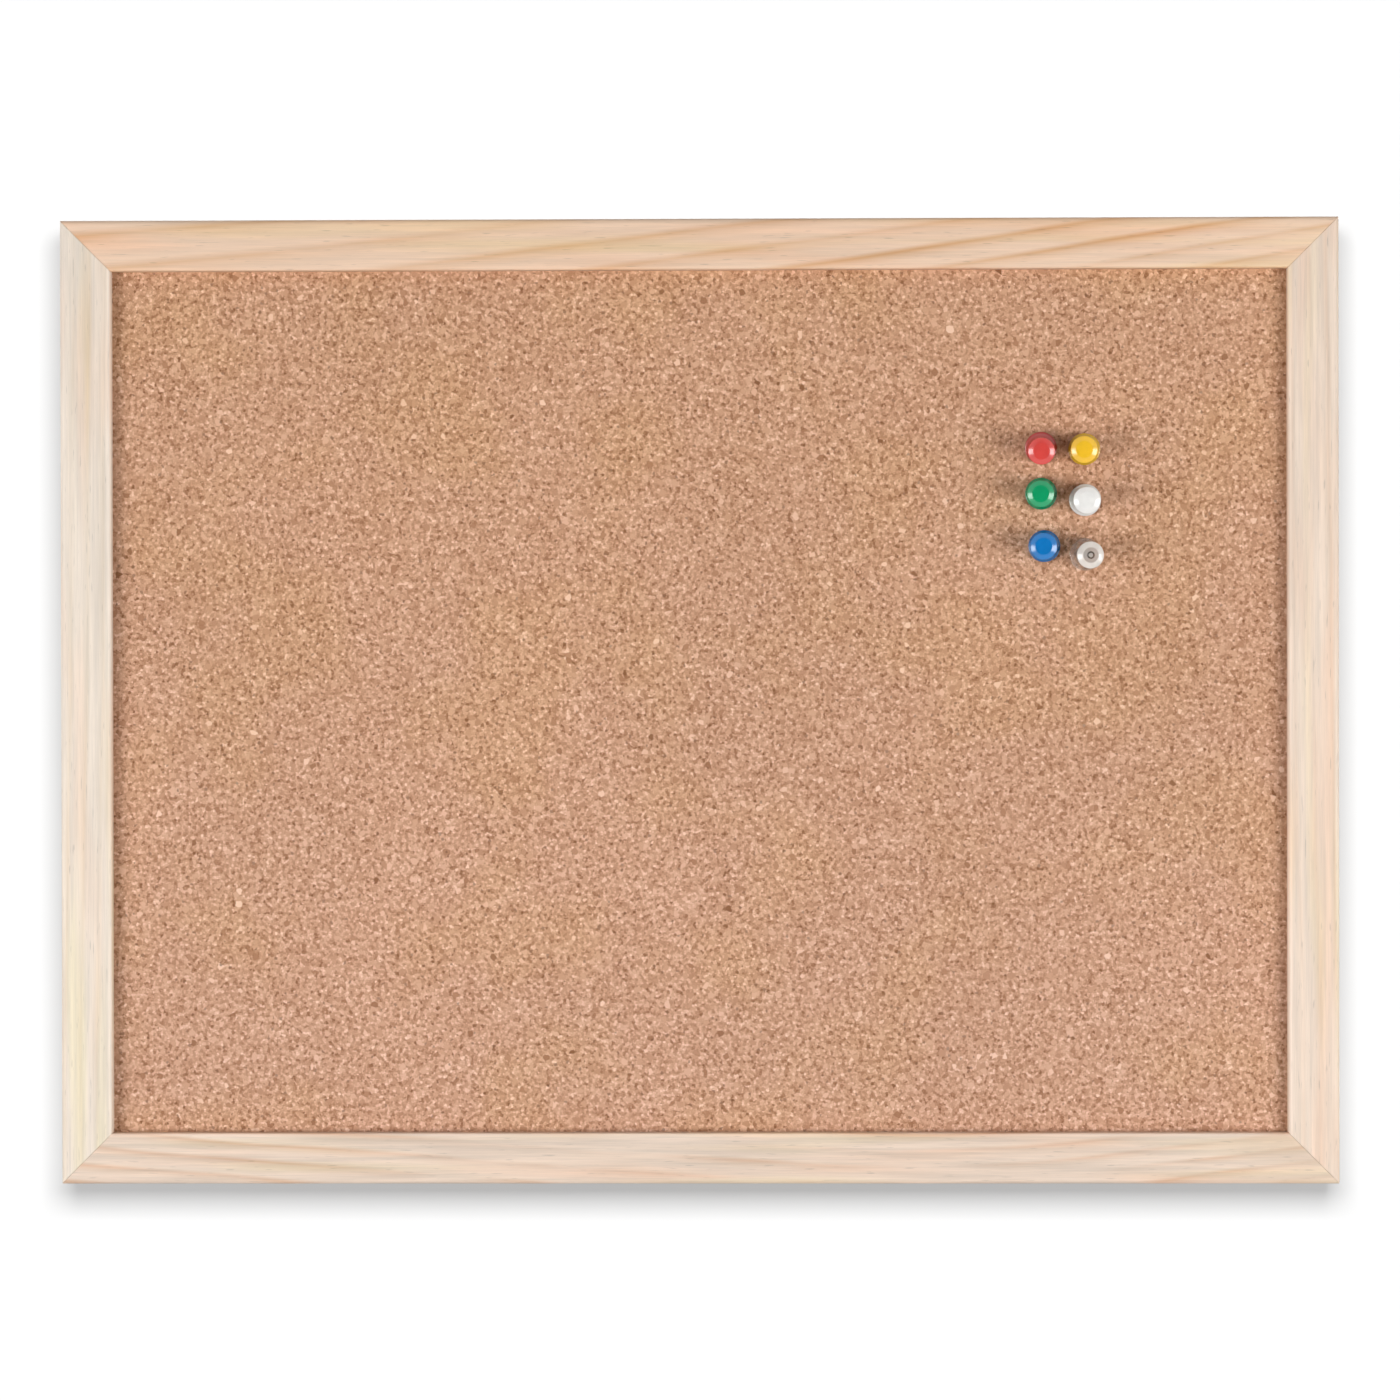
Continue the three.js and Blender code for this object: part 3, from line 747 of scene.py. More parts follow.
def point_place(node):
    low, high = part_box(node)
    rail = node.removeprefix("panel_point_").rpartition("_")[0]
    return Vector(((low.x + high.x) / 2, 0, (low.z + high.z) / 2)), math.radians(POINT_TURNS[rail])


point_low, point_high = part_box(point_nodes[0])
point_template = prism("panel_point", point_outline(point_nodes[0]), point_low.y, point_high.y)
points = copies(smooth(eased(point_template, POINT_EASE)), [point_place(node) for node in point_nodes])
piece("steel_panel_points", points, steel, "board", "steel", *point_nodes)

# %% [markdown]
# ## Cork
# Sheet cork is bark ground to granules and pressed with a binder. Small angular chips make up most of it,
# with some larger granules among them, each its own tan, and now and then a scrap of dark bark. Cells with
# slightly bent borders have that structure. Each chip takes one tone, from a noise read at the chip's middle,
# so that light and dark chips alternate, and a darker seam of binder lies round it. Slow drifts in hue, to
# straw and to rose, keep the sheet from looking printed. Painted shade darkens it beside the stiles' lips.

# %% Chips of cork
CORK_CHIP = 0.68 * MM
CORK_GRANULE = 1.5 * MM
CORK_GRANULE_SHARE = 0.08
CORK_WAVE = 1.12 * MM
CORK_SEAM = 0.07 * MM
CORK_SEAM_DEPTH = 0.1
CORK_MIX = dict(wave=0.75, chance=0.12, meal=0.13)


def cork_chips(w, place, size):
    """Chips of one size: the tone of each, the seam round it and its three random draws."""
    cells = w.cells(place, 1 / size)
    draws = w.split(cells["Color"])
    wave = w.math("MULTIPLY", w.noise(cells["Position"], 1 / CORK_WAVE, 0.0), CORK_MIX["wave"])
    tone = w.math("ADD", wave, w.math("MULTIPLY", draws[0], CORK_MIX["chance"]))
    edge = w.cells(place, 1 / size, "DISTANCE_TO_EDGE")["Distance"]
    return tone, w.band(edge, 0.0, CORK_SEAM / size, 1.0, 0.0), draws


print(f"chips of {CORK_CHIP / MM:.2f} mm among granules of {CORK_GRANULE / MM:.2f} mm")

# %% Cork finish
CORK_TONES = (
    (0.0, linear(142, 95, 64)),
    (0.2, linear(180, 130, 97)),
    (0.5, linear(209, 161, 128)),
    (0.8, linear(229, 184, 153)),
    (1.0, linear(247, 209, 180)),
)
CORK_RANGE = (0.226, 0.746)
CORK_BEND = 0.4 * MM
CORK_BEND_SCALE = 1500.0
CORK_MEAL = dict(scale=3400.0, detail=3.0, roughness=0.65)
CORK_BARK = linear(112, 72, 48)
CORK_BARK_SHARE = 0.007
CORK_BARK_DEPTH = 0.6
CORK_ROSE = (1.03, 1.05, 1.14)
CORK_STRAW = (1.0, 1.0, 0.93)
CORK_STRAW_SCALE = 24.0
CORK_CLOUD_SCALE = 8.0
CORK_BANDS = {"straw": (0.42, 0.65), "cloud": (0.35, 0.65, 0.945, 0.985), "rough": (0.3, 0.7, 0.82, 0.95)}
# Painted shade beside the stiles: how far in it reaches and how dark it gets.
CORK_SHADE_REACH = 4.6 * MM
CORK_PAINTED_SHADE = 0.87
CORK_GLOSS = 0.2
CORK_BUMP = dict(strength=0.4, depth=0.06 * MM)


def cork_finish():
    material, w, shader, place = finish("pressed_cork")
    wobble = w.add("ShaderNodeTexNoise", {"Vector": place, "Scale": CORK_BEND_SCALE}).outputs["Color"]
    inputs = {0: wobble, 1: (CORK_BEND,) * 3, 2: place}
    bent = w.add("ShaderNodeVectorMath", inputs, operation="MULTIPLY_ADD").outputs[0]
    tone, seam, draws = cork_chips(w, bent, CORK_CHIP)
    large_tone, large_seam, large_draws = cork_chips(w, bent, CORK_GRANULE)
    large = w.math("GREATER_THAN", large_draws[2], 1 - CORK_GRANULE_SHARE)
    tone = w.choose(large, tone, large_tone)
    seam = w.choose(large, seam, large_seam)
    meal = w.noise(place, **CORK_MEAL)
    tone = w.math("ADD", tone, w.math("MULTIPLY", meal, CORK_MIX["meal"]))
    tone = w.math("SUBTRACT", tone, w.math("MULTIPLY", seam, CORK_SEAM_DEPTH))
    low, high = CORK_RANGE
    colour = w.ramp(w.add("ShaderNodeMapRange", {0: tone, 1: low, 2: high}).outputs[0], CORK_TONES)
    bark = w.math("GREATER_THAN", draws[1], 1 - CORK_BARK_SHARE)
    colour = w.mix(w.math("MULTIPLY", bark, CORK_BARK_DEPTH), colour, CORK_BARK)
    x, _, z = w.split(place)
    colour = w.mix(w.band(z, BOTTOM, TOP, 1.0, 0.0), colour, CORK_ROSE, "MULTIPLY")
    straw = w.band(w.noise(place, CORK_STRAW_SCALE), *CORK_BANDS["straw"])
    colour = w.mix(straw, colour, CORK_STRAW, "MULTIPLY")
    colour = w.shade(colour, w.band(w.noise(place, CORK_CLOUD_SCALE), *CORK_BANDS["cloud"]))
    # Painted shade: the cork darkens towards the stiles, where the lips' shadow falls.
    aside = w.math("ABSOLUTE", w.math("SUBTRACT", x, CENTRE.x))
    lip = RIGHT - FACE - CENTRE.x
    colour = w.shade(colour, w.band(aside, lip - CORK_SHADE_REACH, lip, 1.0, CORK_PAINTED_SHADE))
    rough = w.band(meal, *CORK_BANDS["rough"])
    w.fill(shader, {"Base Color": colour, "Roughness": rough, "Specular IOR Level": CORK_GLOSS})
    bump(w, shader, meal, **CORK_BUMP)
    return material


cork = cork_finish()
print("cork finish:", cork.name)

# %% [markdown]
# ## The cork sheet
# The sheet's face isn't flat: granules stand at slightly different heights and the binder between them lies
# lower. A tree of geometry nodes lays a fine grid over the face and sinks each point by the cell that it
# falls in, never above the CAD face. The grid is then closed into a sheet, and the needles' holes are cut, so
# that a pin that is pulled out leaves its hole.

# %% Cork face tree
CORK_PITCH = 1.3 * MM
CORK_RELIEF = 0.05 * MM
CORK_CELL = 2.6 * MM
CORK_SEED = 0.37
CELL_DOME = 0.5
CELL_SINK = -0.6


def cork_tree():
    sizes = ("Width", "Height", "Pitch", "Relief", "Granule", "Seed")
    w, given, output = geometry_tree("Cork face", {label: "Float" for label in sizes})
    counts = [w.math("DIVIDE", given[label], given["Pitch"]) for label in ("Width", "Height")]
    inputs = {0: given["Width"], 1: given["Height"], 2: counts[0], 3: counts[1]}
    grid = w.add("GeometryNodeMeshGrid", inputs).outputs[0]
    place = w.add("GeometryNodeInputPosition").outputs[0]
    seeded = w.vectors("ADD", place, given["Seed"])
    cells = w.cells(seeded, w.math("DIVIDE", 1.0, given["Granule"]))
    low = w.math("ADD", w.math("MULTIPLY", cells["Distance"], CELL_DOME), w.split(cells["Color"])[0])
    sunk = w.math("MULTIPLY", low, w.math("MULTIPLY", given["Relief"], CELL_SINK))
    end_tree(w, w.moved(grid, w.vector(0.0, 0.0, sunk)), cork, output)
    return w


cork_sizes = {
    "Width": cork_high.x - cork_low.x, "Height": cork_high.z - cork_low.z, "Pitch": CORK_PITCH,
    "Relief": CORK_RELIEF, "Granule": CORK_CELL, "Seed": CORK_SEED,
}
cork_face = run_tree(cork_tree(), cork_sizes, bpy.data.meshes.new("cork_face"))
cork_middle = Vector(((cork_low.x + cork_high.x) / 2, cork_low.y, (cork_low.z + cork_high.z) / 2))
cork_face.transform(Matrix.Translation(cork_middle) @ Matrix.Rotation(math.radians(90), 4, "X"))
print("cork face:", len(cork_face.vertices), "points")


# %% Closed cork sheet
def closed_sheet(face_mesh, name, back):
    """A grid of points facing -Y as a closed sheet, with four sides and a flat back."""
    shape = bmesh.new()
    shape.from_mesh(face_mesh)
    rim = [v for v in shape.verts if v.is_boundary]
    low = Vector((min(v.co.x for v in rim), back, min(v.co.z for v in rim)))
    high = Vector((max(v.co.x for v in rim), back, max(v.co.z for v in rim)))
    ends = {(x, z): shape.verts.new((x, back, z)) for x in (low.x, high.x) for z in (low.z, high.z)}
    for x in (low.x, high.x):
        side = sorted((v for v in rim if abs(v.co.x - x) < NEAR), key=lambda v: v.co.z)
        shape.faces.new([*side, ends[x, high.z], ends[x, low.z]])
    for z in (low.z, high.z):
        side = sorted((v for v in rim if abs(v.co.z - z) < NEAR), key=lambda v: v.co.x)
        shape.faces.new([*side, ends[high.x, z], ends[low.x, z]])
    shape.faces.new([ends[low.x, low.z], ends[high.x, low.z], ends[high.x, high.z], ends[low.x, high.z]])
    return plain_mesh(shape, name)


cork_sheet = closed_sheet(cork_face, "cork", cork_high.y)
print("closed cork sheet:", len(cork_sheet.polygons), "faces")

# %% [markdown]
# ## Push pins
# A push pin is a moulded grip on a steel needle. The grip is turned about its axis: a flange that stops on
# the cork, a waist for the fingers, and a cap with a flat disc inside a bevelled ring. The ring is what
# catches the lamps, so its edges are filleted rather than left sharp. Each pin leans its own way. Its axis is
# the pull axis of its joint, and its base is the lowest point of its CAD grip along that axis.

# %% Where each pin stands
PIN_COLOURS = ("red", "yellow", "green", "white", "blue", "clear")
PULLS = {joint["child"]: Vector(joint["axis"]).normalized() for joint in frame["joints"]}


def along_axis(node, turn):
    """A node's box in a frame whose +Z is a pin's axis."""
    corners = [turn.transposed() @ v.co for v in frame["nodes"][node].data.vertices]
    low = Vector([min(c[i] for c in corners) for i in range(3)])
    high = Vector([max(c[i] for c in corners) for i in range(3)])
    return low, high


def pin_place(colour):
    """The place of a pin, with +Z along its axis from the flange's underside, and its sizes."""
    turn = UP.rotation_difference(PULLS[f"{colour}_pin"]).to_matrix()
    low, high = along_axis(f"{colour}_pin_grip", turn)
    needle_low, needle_high = along_axis(f"{colour}_pin_needle", turn)
    base = turn @ Vector(((low.x + high.x) / 2, (low.y + high.y) / 2, low.z))
    place = Matrix.Translation(base) @ turn.to_4x4()
    return place, high.z - low.z, needle_low.z - low.z, needle_high.z - low.z


for colour in PIN_COLOURS:
    _, height, tip, root = pin_place(colour)
    print(f"{colour} pin: grip {height * 1000:.2f} mm, needle {tip * 1000:.2f} to {root * 1000:.2f} mm")

# %% Needle holes in the cork
NEEDLE_RADIUS = 0.55 * MM
NEEDLE_HOLE = 0.75 * MM
NEEDLE_TAPER = 3.5 * MM
HOLE_SIDES = 16


def needle_holes():
    shape = bmesh.new()
    for colour in PIN_COLOURS:
        place, height, tip, _ = pin_place(colour)
        outline = [(0, tip), (NEEDLE_HOLE, tip), (NEEDLE_HOLE, height), (0, height)]
        shape.from_mesh(turned("hole", outline, HOLE_SIDES, place))
    return plain_mesh(shape, "needle_holes")


cork_piece = smooth(cut_by(cork_sheet, needle_holes()), angle=60)
piece("cork_face", cork_piece, cork, "board", "cork", "cork_sheet")

# %% [markdown]
# ## Moulded plastic
# The grips are moulded in polystyrene: a solid colour with a gloss. Even so the surface varies: the gloss is
# broken by faint flow marks and by fingerprints, and the colour is a little cloudy. The flange's colour is
# darkened as painted shade, so the tone falls along the pin's axis from the cap down to the flange.

# %% Solid plastics
FLANGE_THICKNESS = 1.4 * MM
CAP_THICKNESS = 2.4 * MM
# The share of the cap's tone that the flange keeps under painted shade.
FLANGE_PAINTED_SHADE = 0.6
WHITE_FLANGE_PAINTED_SHADE = 0.78
PLASTIC_CLOUD = 260.0
PLASTIC_FLOW = (700, 160, 700)
PLASTIC_PRINTS = 1400.0
PLASTIC_BANDS = {"cloud": (0.3, 0.7, 0.95, 1.04), "prints": (0.35, 0.7)}
PLASTIC_ROUGH = 0.16
PRINT_ROUGH = 0.1
PLASTIC_IOR = 1.55
PLASTIC_GLOSS = 0.75
PLASTIC_RELIEF = dict(strength=0.12, depth=0.03 * MM)


def on_axis(w, place, colour):
    """How far a point of a pin is from its axis, and how far along it from the flange's underside."""
    stand = pin_place(colour)[0]
    axis = stand.col[2].xyz
    arm = w.vectors("SUBTRACT", place, stand.translation)
    radius = w.vectors("LENGTH", w.vectors("CROSS_PRODUCT", arm, axis))
    return radius, w.vectors("DOT_PRODUCT", arm, axis)


def plastic(name, colour, rough=PLASTIC_ROUGH, depth=FLANGE_PAINTED_SHADE):
    """A solid plastic whose flange is darkened, as painted shade, to a share of the cap's tone."""
    material, w, shader, place = finish(f"{name}_plastic")
    cloud = w.band(w.noise(place, PLASTIC_CLOUD), *PLASTIC_BANDS["cloud"])
    flow = w.noise(w.scaled(place, PLASTIC_FLOW), 1.0)
    prints = w.noise(place, PLASTIC_PRINTS)
    # Painted shade: the tone falls from under the cap down to the flange.
    rise = on_axis(w, place, name)[1]
    under_cap = pin_place(name)[1] - CAP_THICKNESS
    tone = w.math("MULTIPLY", cloud, w.band(rise, FLANGE_THICKNESS, under_cap, depth))
    touched = w.band(prints, *PLASTIC_BANDS["prints"], rough, rough + PRINT_ROUGH)
    w.fill(shader, {"Base Color": w.shade(colour, tone), "Roughness": touched})
    w.fill(shader, {"IOR": PLASTIC_IOR, "Specular IOR Level": PLASTIC_GLOSS})
    bump(w, shader, flow, **PLASTIC_RELIEF)
    return material


PLASTICS = {
    "red": plastic("red", linear(224, 74, 67)),
    "yellow": plastic("yellow", linear(252, 198, 40)),
    "green": plastic("green", linear(0, 160, 101)),
    "white": plastic("white", linear(245, 243, 239), depth=WHITE_FLANGE_PAINTED_SHADE),
    "blue": plastic("blue", linear(0, 122, 198)),
}
print("solid plastics:", list(PLASTICS))

# %% [markdown]
# The clear grip has no colour of its own. It bends light with the index of polystyrene, so that the needle
# shows through its flat top. Round the needle a dark ring of painted shade stands for the bore that holds it.
# The bevelled ring outside is nearly frosted, as the mould left it, and shows white.

# %% Clear plastic
CAP_FLAT = 2.6 * MM
CLEAR_TINT = linear(250, 243, 235)
CLEAR_ROUGH = 0.05
CLEAR_IOR = 1.59
CLEAR_EDGE = 0.4 * MM
CLEAR_SHARES = dict(flat=0.6, ring=0.22, waist=0.9)
# Radius and darkness of the painted shade ring round the needle.
CLEAR_BORE = 0.95 * MM
CLEAR_BORE_PAINTED_SHADE = 0.05


def clear_plastic():
    material = plastic("clear", CLEAR_TINT, CLEAR_ROUGH, depth=1.0)
    w = Wiring(material.node_tree)
    shader = material.node_tree.nodes["Principled BSDF"]
    radius, rise = on_axis(w, w.add("ShaderNodeTexCoord").outputs["Object"], "clear")
    # Painted shade: a dark ring at the bore's radius stands for the bore seen through the plastic.
    from_bore = w.math("ABSOLUTE", w.math("SUBTRACT", radius, CLEAR_BORE))
    painted_bore_shade = w.band(from_bore, 0.0, CLEAR_EDGE, CLEAR_BORE_PAINTED_SHADE, 1.0)
    tint = w.shade(shader.inputs["Base Color"].links[0].from_socket, painted_bore_shade)
    top = w.band(radius, CAP_FLAT - CLEAR_EDGE, CAP_FLAT, CLEAR_SHARES["flat"], CLEAR_SHARES["ring"])
    under_cap = pin_place("clear")[1] - CAP_THICKNESS
    capped = w.band(rise, under_cap - CLEAR_EDGE, under_cap)
    through = w.choose(capped, CLEAR_SHARES["waist"], top)
    w.fill(shader, {"Base Color": tint, "Transmission Weight": through, "IOR": CLEAR_IOR})
    return material


PLASTICS["clear"] = clear_plastic()
print("clear plastic:", PLASTICS["clear"].name)

# %% Grips and needles
FLANGE_RADIUS = 5.0 * MM
WAIST_RADIUS = 2.5 * MM
CAP_RADIUS = 4.2 * MM
CAP_BEVEL = 0.8 * MM
RIM_ROUND = 0.4 * MM
FLAT_ROUND = 0.5 * MM
FLARE_POWER = 2.2
FLARE_STEPS = 10
GRIP_SIDES = 64
NEEDLE_SIDES = 24


def grip_outline(height):
    under = height - CAP_THICKNESS
    waist = (FLANGE_THICKNESS + under) / 2

    def flare(rim, end):
        shares = [i / FLARE_STEPS for i in range(1, FLARE_STEPS + 1)]
        reach = rim - RIM_ROUND - WAIST_RADIUS
        return [(WAIST_RADIUS + reach * s**FLARE_POWER, waist + (end - waist) * s, 0) for s in shares]

    return filleted([
        (0, 0, 0),
        (FLANGE_RADIUS, 0, RIM_ROUND),
        (FLANGE_RADIUS, FLANGE_THICKNESS, RIM_ROUND),
        *reversed(flare(FLANGE_RADIUS, FLANGE_THICKNESS)),
        (WAIST_RADIUS, waist, 0),
        *flare(CAP_RADIUS, under),
        (CAP_RADIUS, under, RIM_ROUND),
        (CAP_RADIUS, height - CAP_BEVEL, RIM_ROUND),
        (CAP_FLAT, height, FLAT_ROUND),
        (0, height, 0),
    ])


def needle_outline(tip, root):
    return [(0, tip), (NEEDLE_RADIUS, tip + NEEDLE_TAPER), (NEEDLE_RADIUS, root), (0, root)]


for colour in PIN_COLOURS:
    place, height, tip, root = pin_place(colour)
    body = f"{colour}_pin"
    grip = smooth(turned(f"{colour}_grip", grip_outline(height), GRIP_SIDES, place))
    needle = smooth(turned(f"{colour}_needle", needle_outline(tip, root), NEEDLE_SIDES, place))
    piece(f"moulded_{colour}_grip", grip, PLASTICS[colour], body, f"{colour}_plastic", f"{body}_grip")
    piece(f"steel_{colour}_needle", needle, steel, body, "steel", f"{body}_needle")

# %% [markdown]
# ## Ring hangers
# Behind each stile a zinc strap is folded round a D-ring and screwed down. The strap is a flat strip that
# follows a path: up the wood, round the eye and down again. It is drawn as such a strip, with its width
# narrowing at the round end, so the fold shows as two layers with a seam between them. The ring is wire, so a
# tree of geometry nodes runs a round section along its path.

# %% Hanger sizes and places
RING_WIRE = 1.8 * MM
RING_PLAY = 0.3 * MM
STRAP_SHEET = 0.8 * MM
STRAP_SEAM = 0.05 * MM
STRAP_NECK = 4.4 * MM
STRAP_BEND = 1.0 * MM
EYE_RADIUS = RING_WIRE / 2 + RING_PLAY
EYE_OUTER = EYE_RADIUS + STRAP_SHEET
STRAP_TOP = 2 * STRAP_SHEET - EYE_OUTER
HANGERS = ("left", "right")


def pivot(side):
    low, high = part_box(f"{side}_hanger_strap")
    return Vector(((low.x + high.x) / 2, high.y - EYE_OUTER, high.z - EYE_OUTER))


strap_low, strap_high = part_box("left_hanger_strap")
STRAP_HALF = (strap_high.x - strap_low.x) / 2
STRAP_END = strap_low.z - pivot("left").z
print("ring pivot:", [round(1000 * v, 2) for v in pivot("left")], "mm")

# %% Strap
EYE_STEPS = 28
END_STEPS = 12
STRAP_EASE = 0.12 * MM


def strap_path():
    """The strip's middle line in (away from the wood, up), with half its width at each point."""
    middle = EYE_RADIUS + STRAP_SHEET / 2
    layers = -EYE_OUTER + STRAP_SHEET / 2, STRAP_TOP - STRAP_SHEET / 2
    fold = Vector((layers[1], -STRAP_NECK))
    tangent = math.atan2(fold.y, fold.x) + math.acos(middle / fold.length)
    sweep = math.pi - tangent
    turns = [math.pi - sweep * i / EYE_STEPS for i in range(EYE_STEPS + 1)]
    eye = [Vector((middle * math.cos(a), middle * math.sin(a))) for a in turns]
    bend = filleted([(*eye[-1], 0), (*fold, STRAP_BEND), (fold.x, STRAP_END, 0)])[1:-1]
    quarter = [math.pi / 2 * i / END_STEPS for i in range(END_STEPS + 1)]
    tip = [(STRAP_HALF * (1 - math.cos(a)), STRAP_HALF * math.sin(a)) for a in quarter]
    rise = [(Vector((layers[0], STRAP_END + up)), half) for up, half in tip]
    fall = [(Vector((layers[1], STRAP_END + up)), half) for up, half in reversed(tip)]
    return rise + [(p, STRAP_HALF) for p in eye + bend] + fall


def strap_mesh(side):
    path = strap_path()
    half = (STRAP_SHEET - STRAP_SEAM) / 2
    shape = bmesh.new()
    rings = []
    for i, (point, width) in enumerate(path):
        ahead = path[min(i + 1, len(path) - 1)][0] - path[max(i - 1, 0)][0]
        normal = Vector((-ahead.y, ahead.x)).normalized() * half
        width = max(width, RING_PLAY)
        corners = [(width, normal), (-width, normal), (-width, -normal), (width, -normal)]
        rings.append([shape.verts.new((x, point.x + n.x, point.y + n.y)) for x, n in corners])
    for low, high in zip(rings, rings[1:]):
        walled(shape, low, high)
    shape.faces.new(rings[0])
    shape.faces.new(rings[-1])
    mesh = plain_mesh(shape, f"{side}_strap")
    mesh.transform(Matrix.Translation(pivot(side)))
    return smooth(eased(mesh, STRAP_EASE, segments=2, angle=50))


for side in HANGERS:
    piece(f"zinc_{side}_strap", strap_mesh(side), zinc, "board", "zinc", f"{side}_hanger_strap")

# %% Ring
RING_SIDE_PLAY = 0.5 * MM
RING_LENGTH = 11 * MM
RING_CORNER = 1.6 * MM
RING_BUTT = 0.4 * MM
RING_HALF = STRAP_HALF + RING_SIDE_PLAY + RING_WIRE / 2
RING_LEAN = math.asin((STRAP_TOP + RING_PLAY + RING_WIRE / 2) / RING_LENGTH)
RING_STEPS = 16
WIRE_SIDES = 20


def wire_tree():
    w, given, output = geometry_tree("Wire along a path", {"Radius": "Float", "Sides": "Int"})
    path = w.add("GeometryNodeMeshToCurve", {"Mesh": given["Geometry"]}).outputs[0]
    inputs = {"Resolution": given["Sides"], "Radius": given["Radius"]}
    section = w.add("GeometryNodeCurvePrimitiveCircle", inputs).outputs[0]
    inputs = {"Curve": path, "Profile Curve": section, "Fill Caps": True}
    wire = w.add("GeometryNodeCurveToMesh", inputs).outputs[0]
    end_tree(w, wire, zinc, output)
    return w


def ring_path():
    corners = [
        (RING_BUTT / 2, 0, 0),
        (RING_HALF, 0, RING_CORNER),
        (RING_HALF, -RING_LENGTH, RING_HALF),
        (-RING_HALF, -RING_LENGTH, RING_HALF),
        (-RING_HALF, 0, RING_CORNER),
        (-RING_BUTT / 2, 0, 0),
    ]
    line = [(x, 0, z) for x, z in filleted(corners, RING_STEPS)]
    mesh = bpy.data.meshes.new("ring_path")
    mesh.from_pydata(line, [(i, i + 1) for i in range(len(line) - 1)], [])
    return mesh


ring_wire = wire_tree()
for side in HANGERS:
    mesh = run_tree(ring_wire, {"Radius": RING_WIRE / 2, "Sides": WIRE_SIDES}, ring_path())
    mesh.transform(Matrix.Translation(pivot(side)) @ Matrix.Rotation(RING_LEAN, 4, "X"))
    ring = smooth(cleaned(mesh, f"{side}_ring"), angle=50)
    piece(f"zinc_{side}_ring", ring, zinc, f"{side}_ring", "zinc", f"{side}_hanger_ring")

# %% [markdown]
# ## Hanger screws
# Each strap is held by a pan-head screw with a cross recess. One screw is turned, its recess is cut, and the
# copies tree sets it on both places. Its shaft is in the wood, so only the head is seen.

# %% Screws
SCREW_SHAFT = 2.4 * MM
SCREW_HEAD = 5.2 * MM
SCREW_RIM = 0.6 * MM
SCREW_POINT = 2.5 * MM
SLOT_WIDTH = 0.9 * MM
SLOT_LENGTH = 3.2 * MM
SLOT_DEPTH = 0.9 * MM
SLOT_TAPER = 0.6
SCREW_HEIGHT = 1.7 * MM
DOME_STEPS = 10
SCREW_SIDES = 40

screw_low, screw_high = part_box("left_hanger_screw")
SCREW_LENGTH = screw_high.y - screw_low.y - SCREW_HEIGHT


def screw_outline():
    rise = SCREW_HEIGHT - SCREW_RIM
    dome = [math.pi / 2 * i / DOME_STEPS for i in range(DOME_STEPS)]
    return [
        (0, -SCREW_LENGTH),
        (SCREW_SHAFT / 2, SCREW_POINT - SCREW_LENGTH),
        (SCREW_SHAFT / 2, 0),
        (SCREW_HEAD / 2, 0),
        *[(SCREW_HEAD / 2 * math.cos(a), SCREW_RIM + rise * math.sin(a)) for a in dome],
        (0, SCREW_HEIGHT),
    ]


def cross_recess():
    """Two crossed bars that taper as they go in, along +Y at the top of the head."""
    shape = bmesh.new()
    arm, half = SLOT_LENGTH / 2, SLOT_WIDTH / 2
    plan = []
    for turn in range(4):
        spin = Matrix.Rotation(math.radians(45 + 90 * turn), 2)
        plan += [spin @ Vector(p) for p in ((arm, -half), (arm, half), (half, half))]
    deep, high = SCREW_HEIGHT - SLOT_DEPTH, SCREW_HEIGHT + SLOT_DEPTH
    floor = [shape.verts.new((p.x * SLOT_TAPER, deep, p.y * SLOT_TAPER)) for p in plan]
    mouth = [shape.verts.new((p.x, high, p.y)) for p in plan]
    shape.faces.new(floor)
    shape.faces.new(mouth)
    walled(shape, floor, mouth)
    return plain_mesh(shape, "cross_recess")


upright = Matrix.Rotation(math.radians(-90), 4, "X")
screw = turned("screw", screw_outline(), SCREW_SIDES, upright)
screw = smooth(cut_by(screw, cross_recess()), angle=40)


def screw_place(side):
    low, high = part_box(f"{side}_hanger_screw")
    return Vector(((low.x + high.x) / 2, high.y - SCREW_HEIGHT, (low.z + high.z) / 2)), 0.0


screws = copies(screw, [screw_place(side) for side in HANGERS])
piece("zinc_hanger_screws", screws, zinc, "board", "zinc", *[f"{side}_hanger_screw" for side in HANGERS])

# %% [markdown]
# ## Softboard and hardboard
# Behind the cork lie a soft core, which takes the needles, and a hardboard back. Both are flat sheets, so the
# CAD solids stay and only get a finish. Softboard is loose grey-brown wood fibre. Hardboard is the same fibre
# pressed dark and hard, with fine strands lying every way.

# %% Fibre board finishes
STRAND_RUNS = ((1, 3, 0.35), (0.35, 3, 1))
STRAND_NOISE = dict(detail=5.0, roughness=0.7)
FIBRE_CLOUD = dict(scale=28.0, detail=3.0)
FIBRE_BANDS = {"weave": (0.4, 0.75), "cloud": (0.3, 0.7, 0.9, 1.05), "rough": (0.3, 0.7)}
STRAND_ROUGH = 0.12
FIBRE_GLOSS = 0.25
FIBRE_RELIEF = dict(strength=0.4, depth=0.1 * MM)


def fibre_board(name, pale, dark, strand, rough):
    """A board of strands of one size, with strands that run up laid over strands that run across."""
    material, w, shader, place = finish(name)
    runs = [w.noise(w.scaled(place, run), 1 / strand, **STRAND_NOISE) for run in STRAND_RUNS]
    weave = w.math("MAXIMUM", *runs)
    colour = w.mix(w.band(weave, *FIBRE_BANDS["weave"]), dark, pale)
    colour = w.shade(colour, w.band(w.noise(place, **FIBRE_CLOUD), *FIBRE_BANDS["cloud"]))
    strands = w.band(weave, *FIBRE_BANDS["rough"], rough, rough + STRAND_ROUGH)
    w.fill(shader, {"Base Color": colour, "Roughness": strands, "Specular IOR Level": FIBRE_GLOSS})
    bump(w, shader, weave, **FIBRE_RELIEF)
    return material


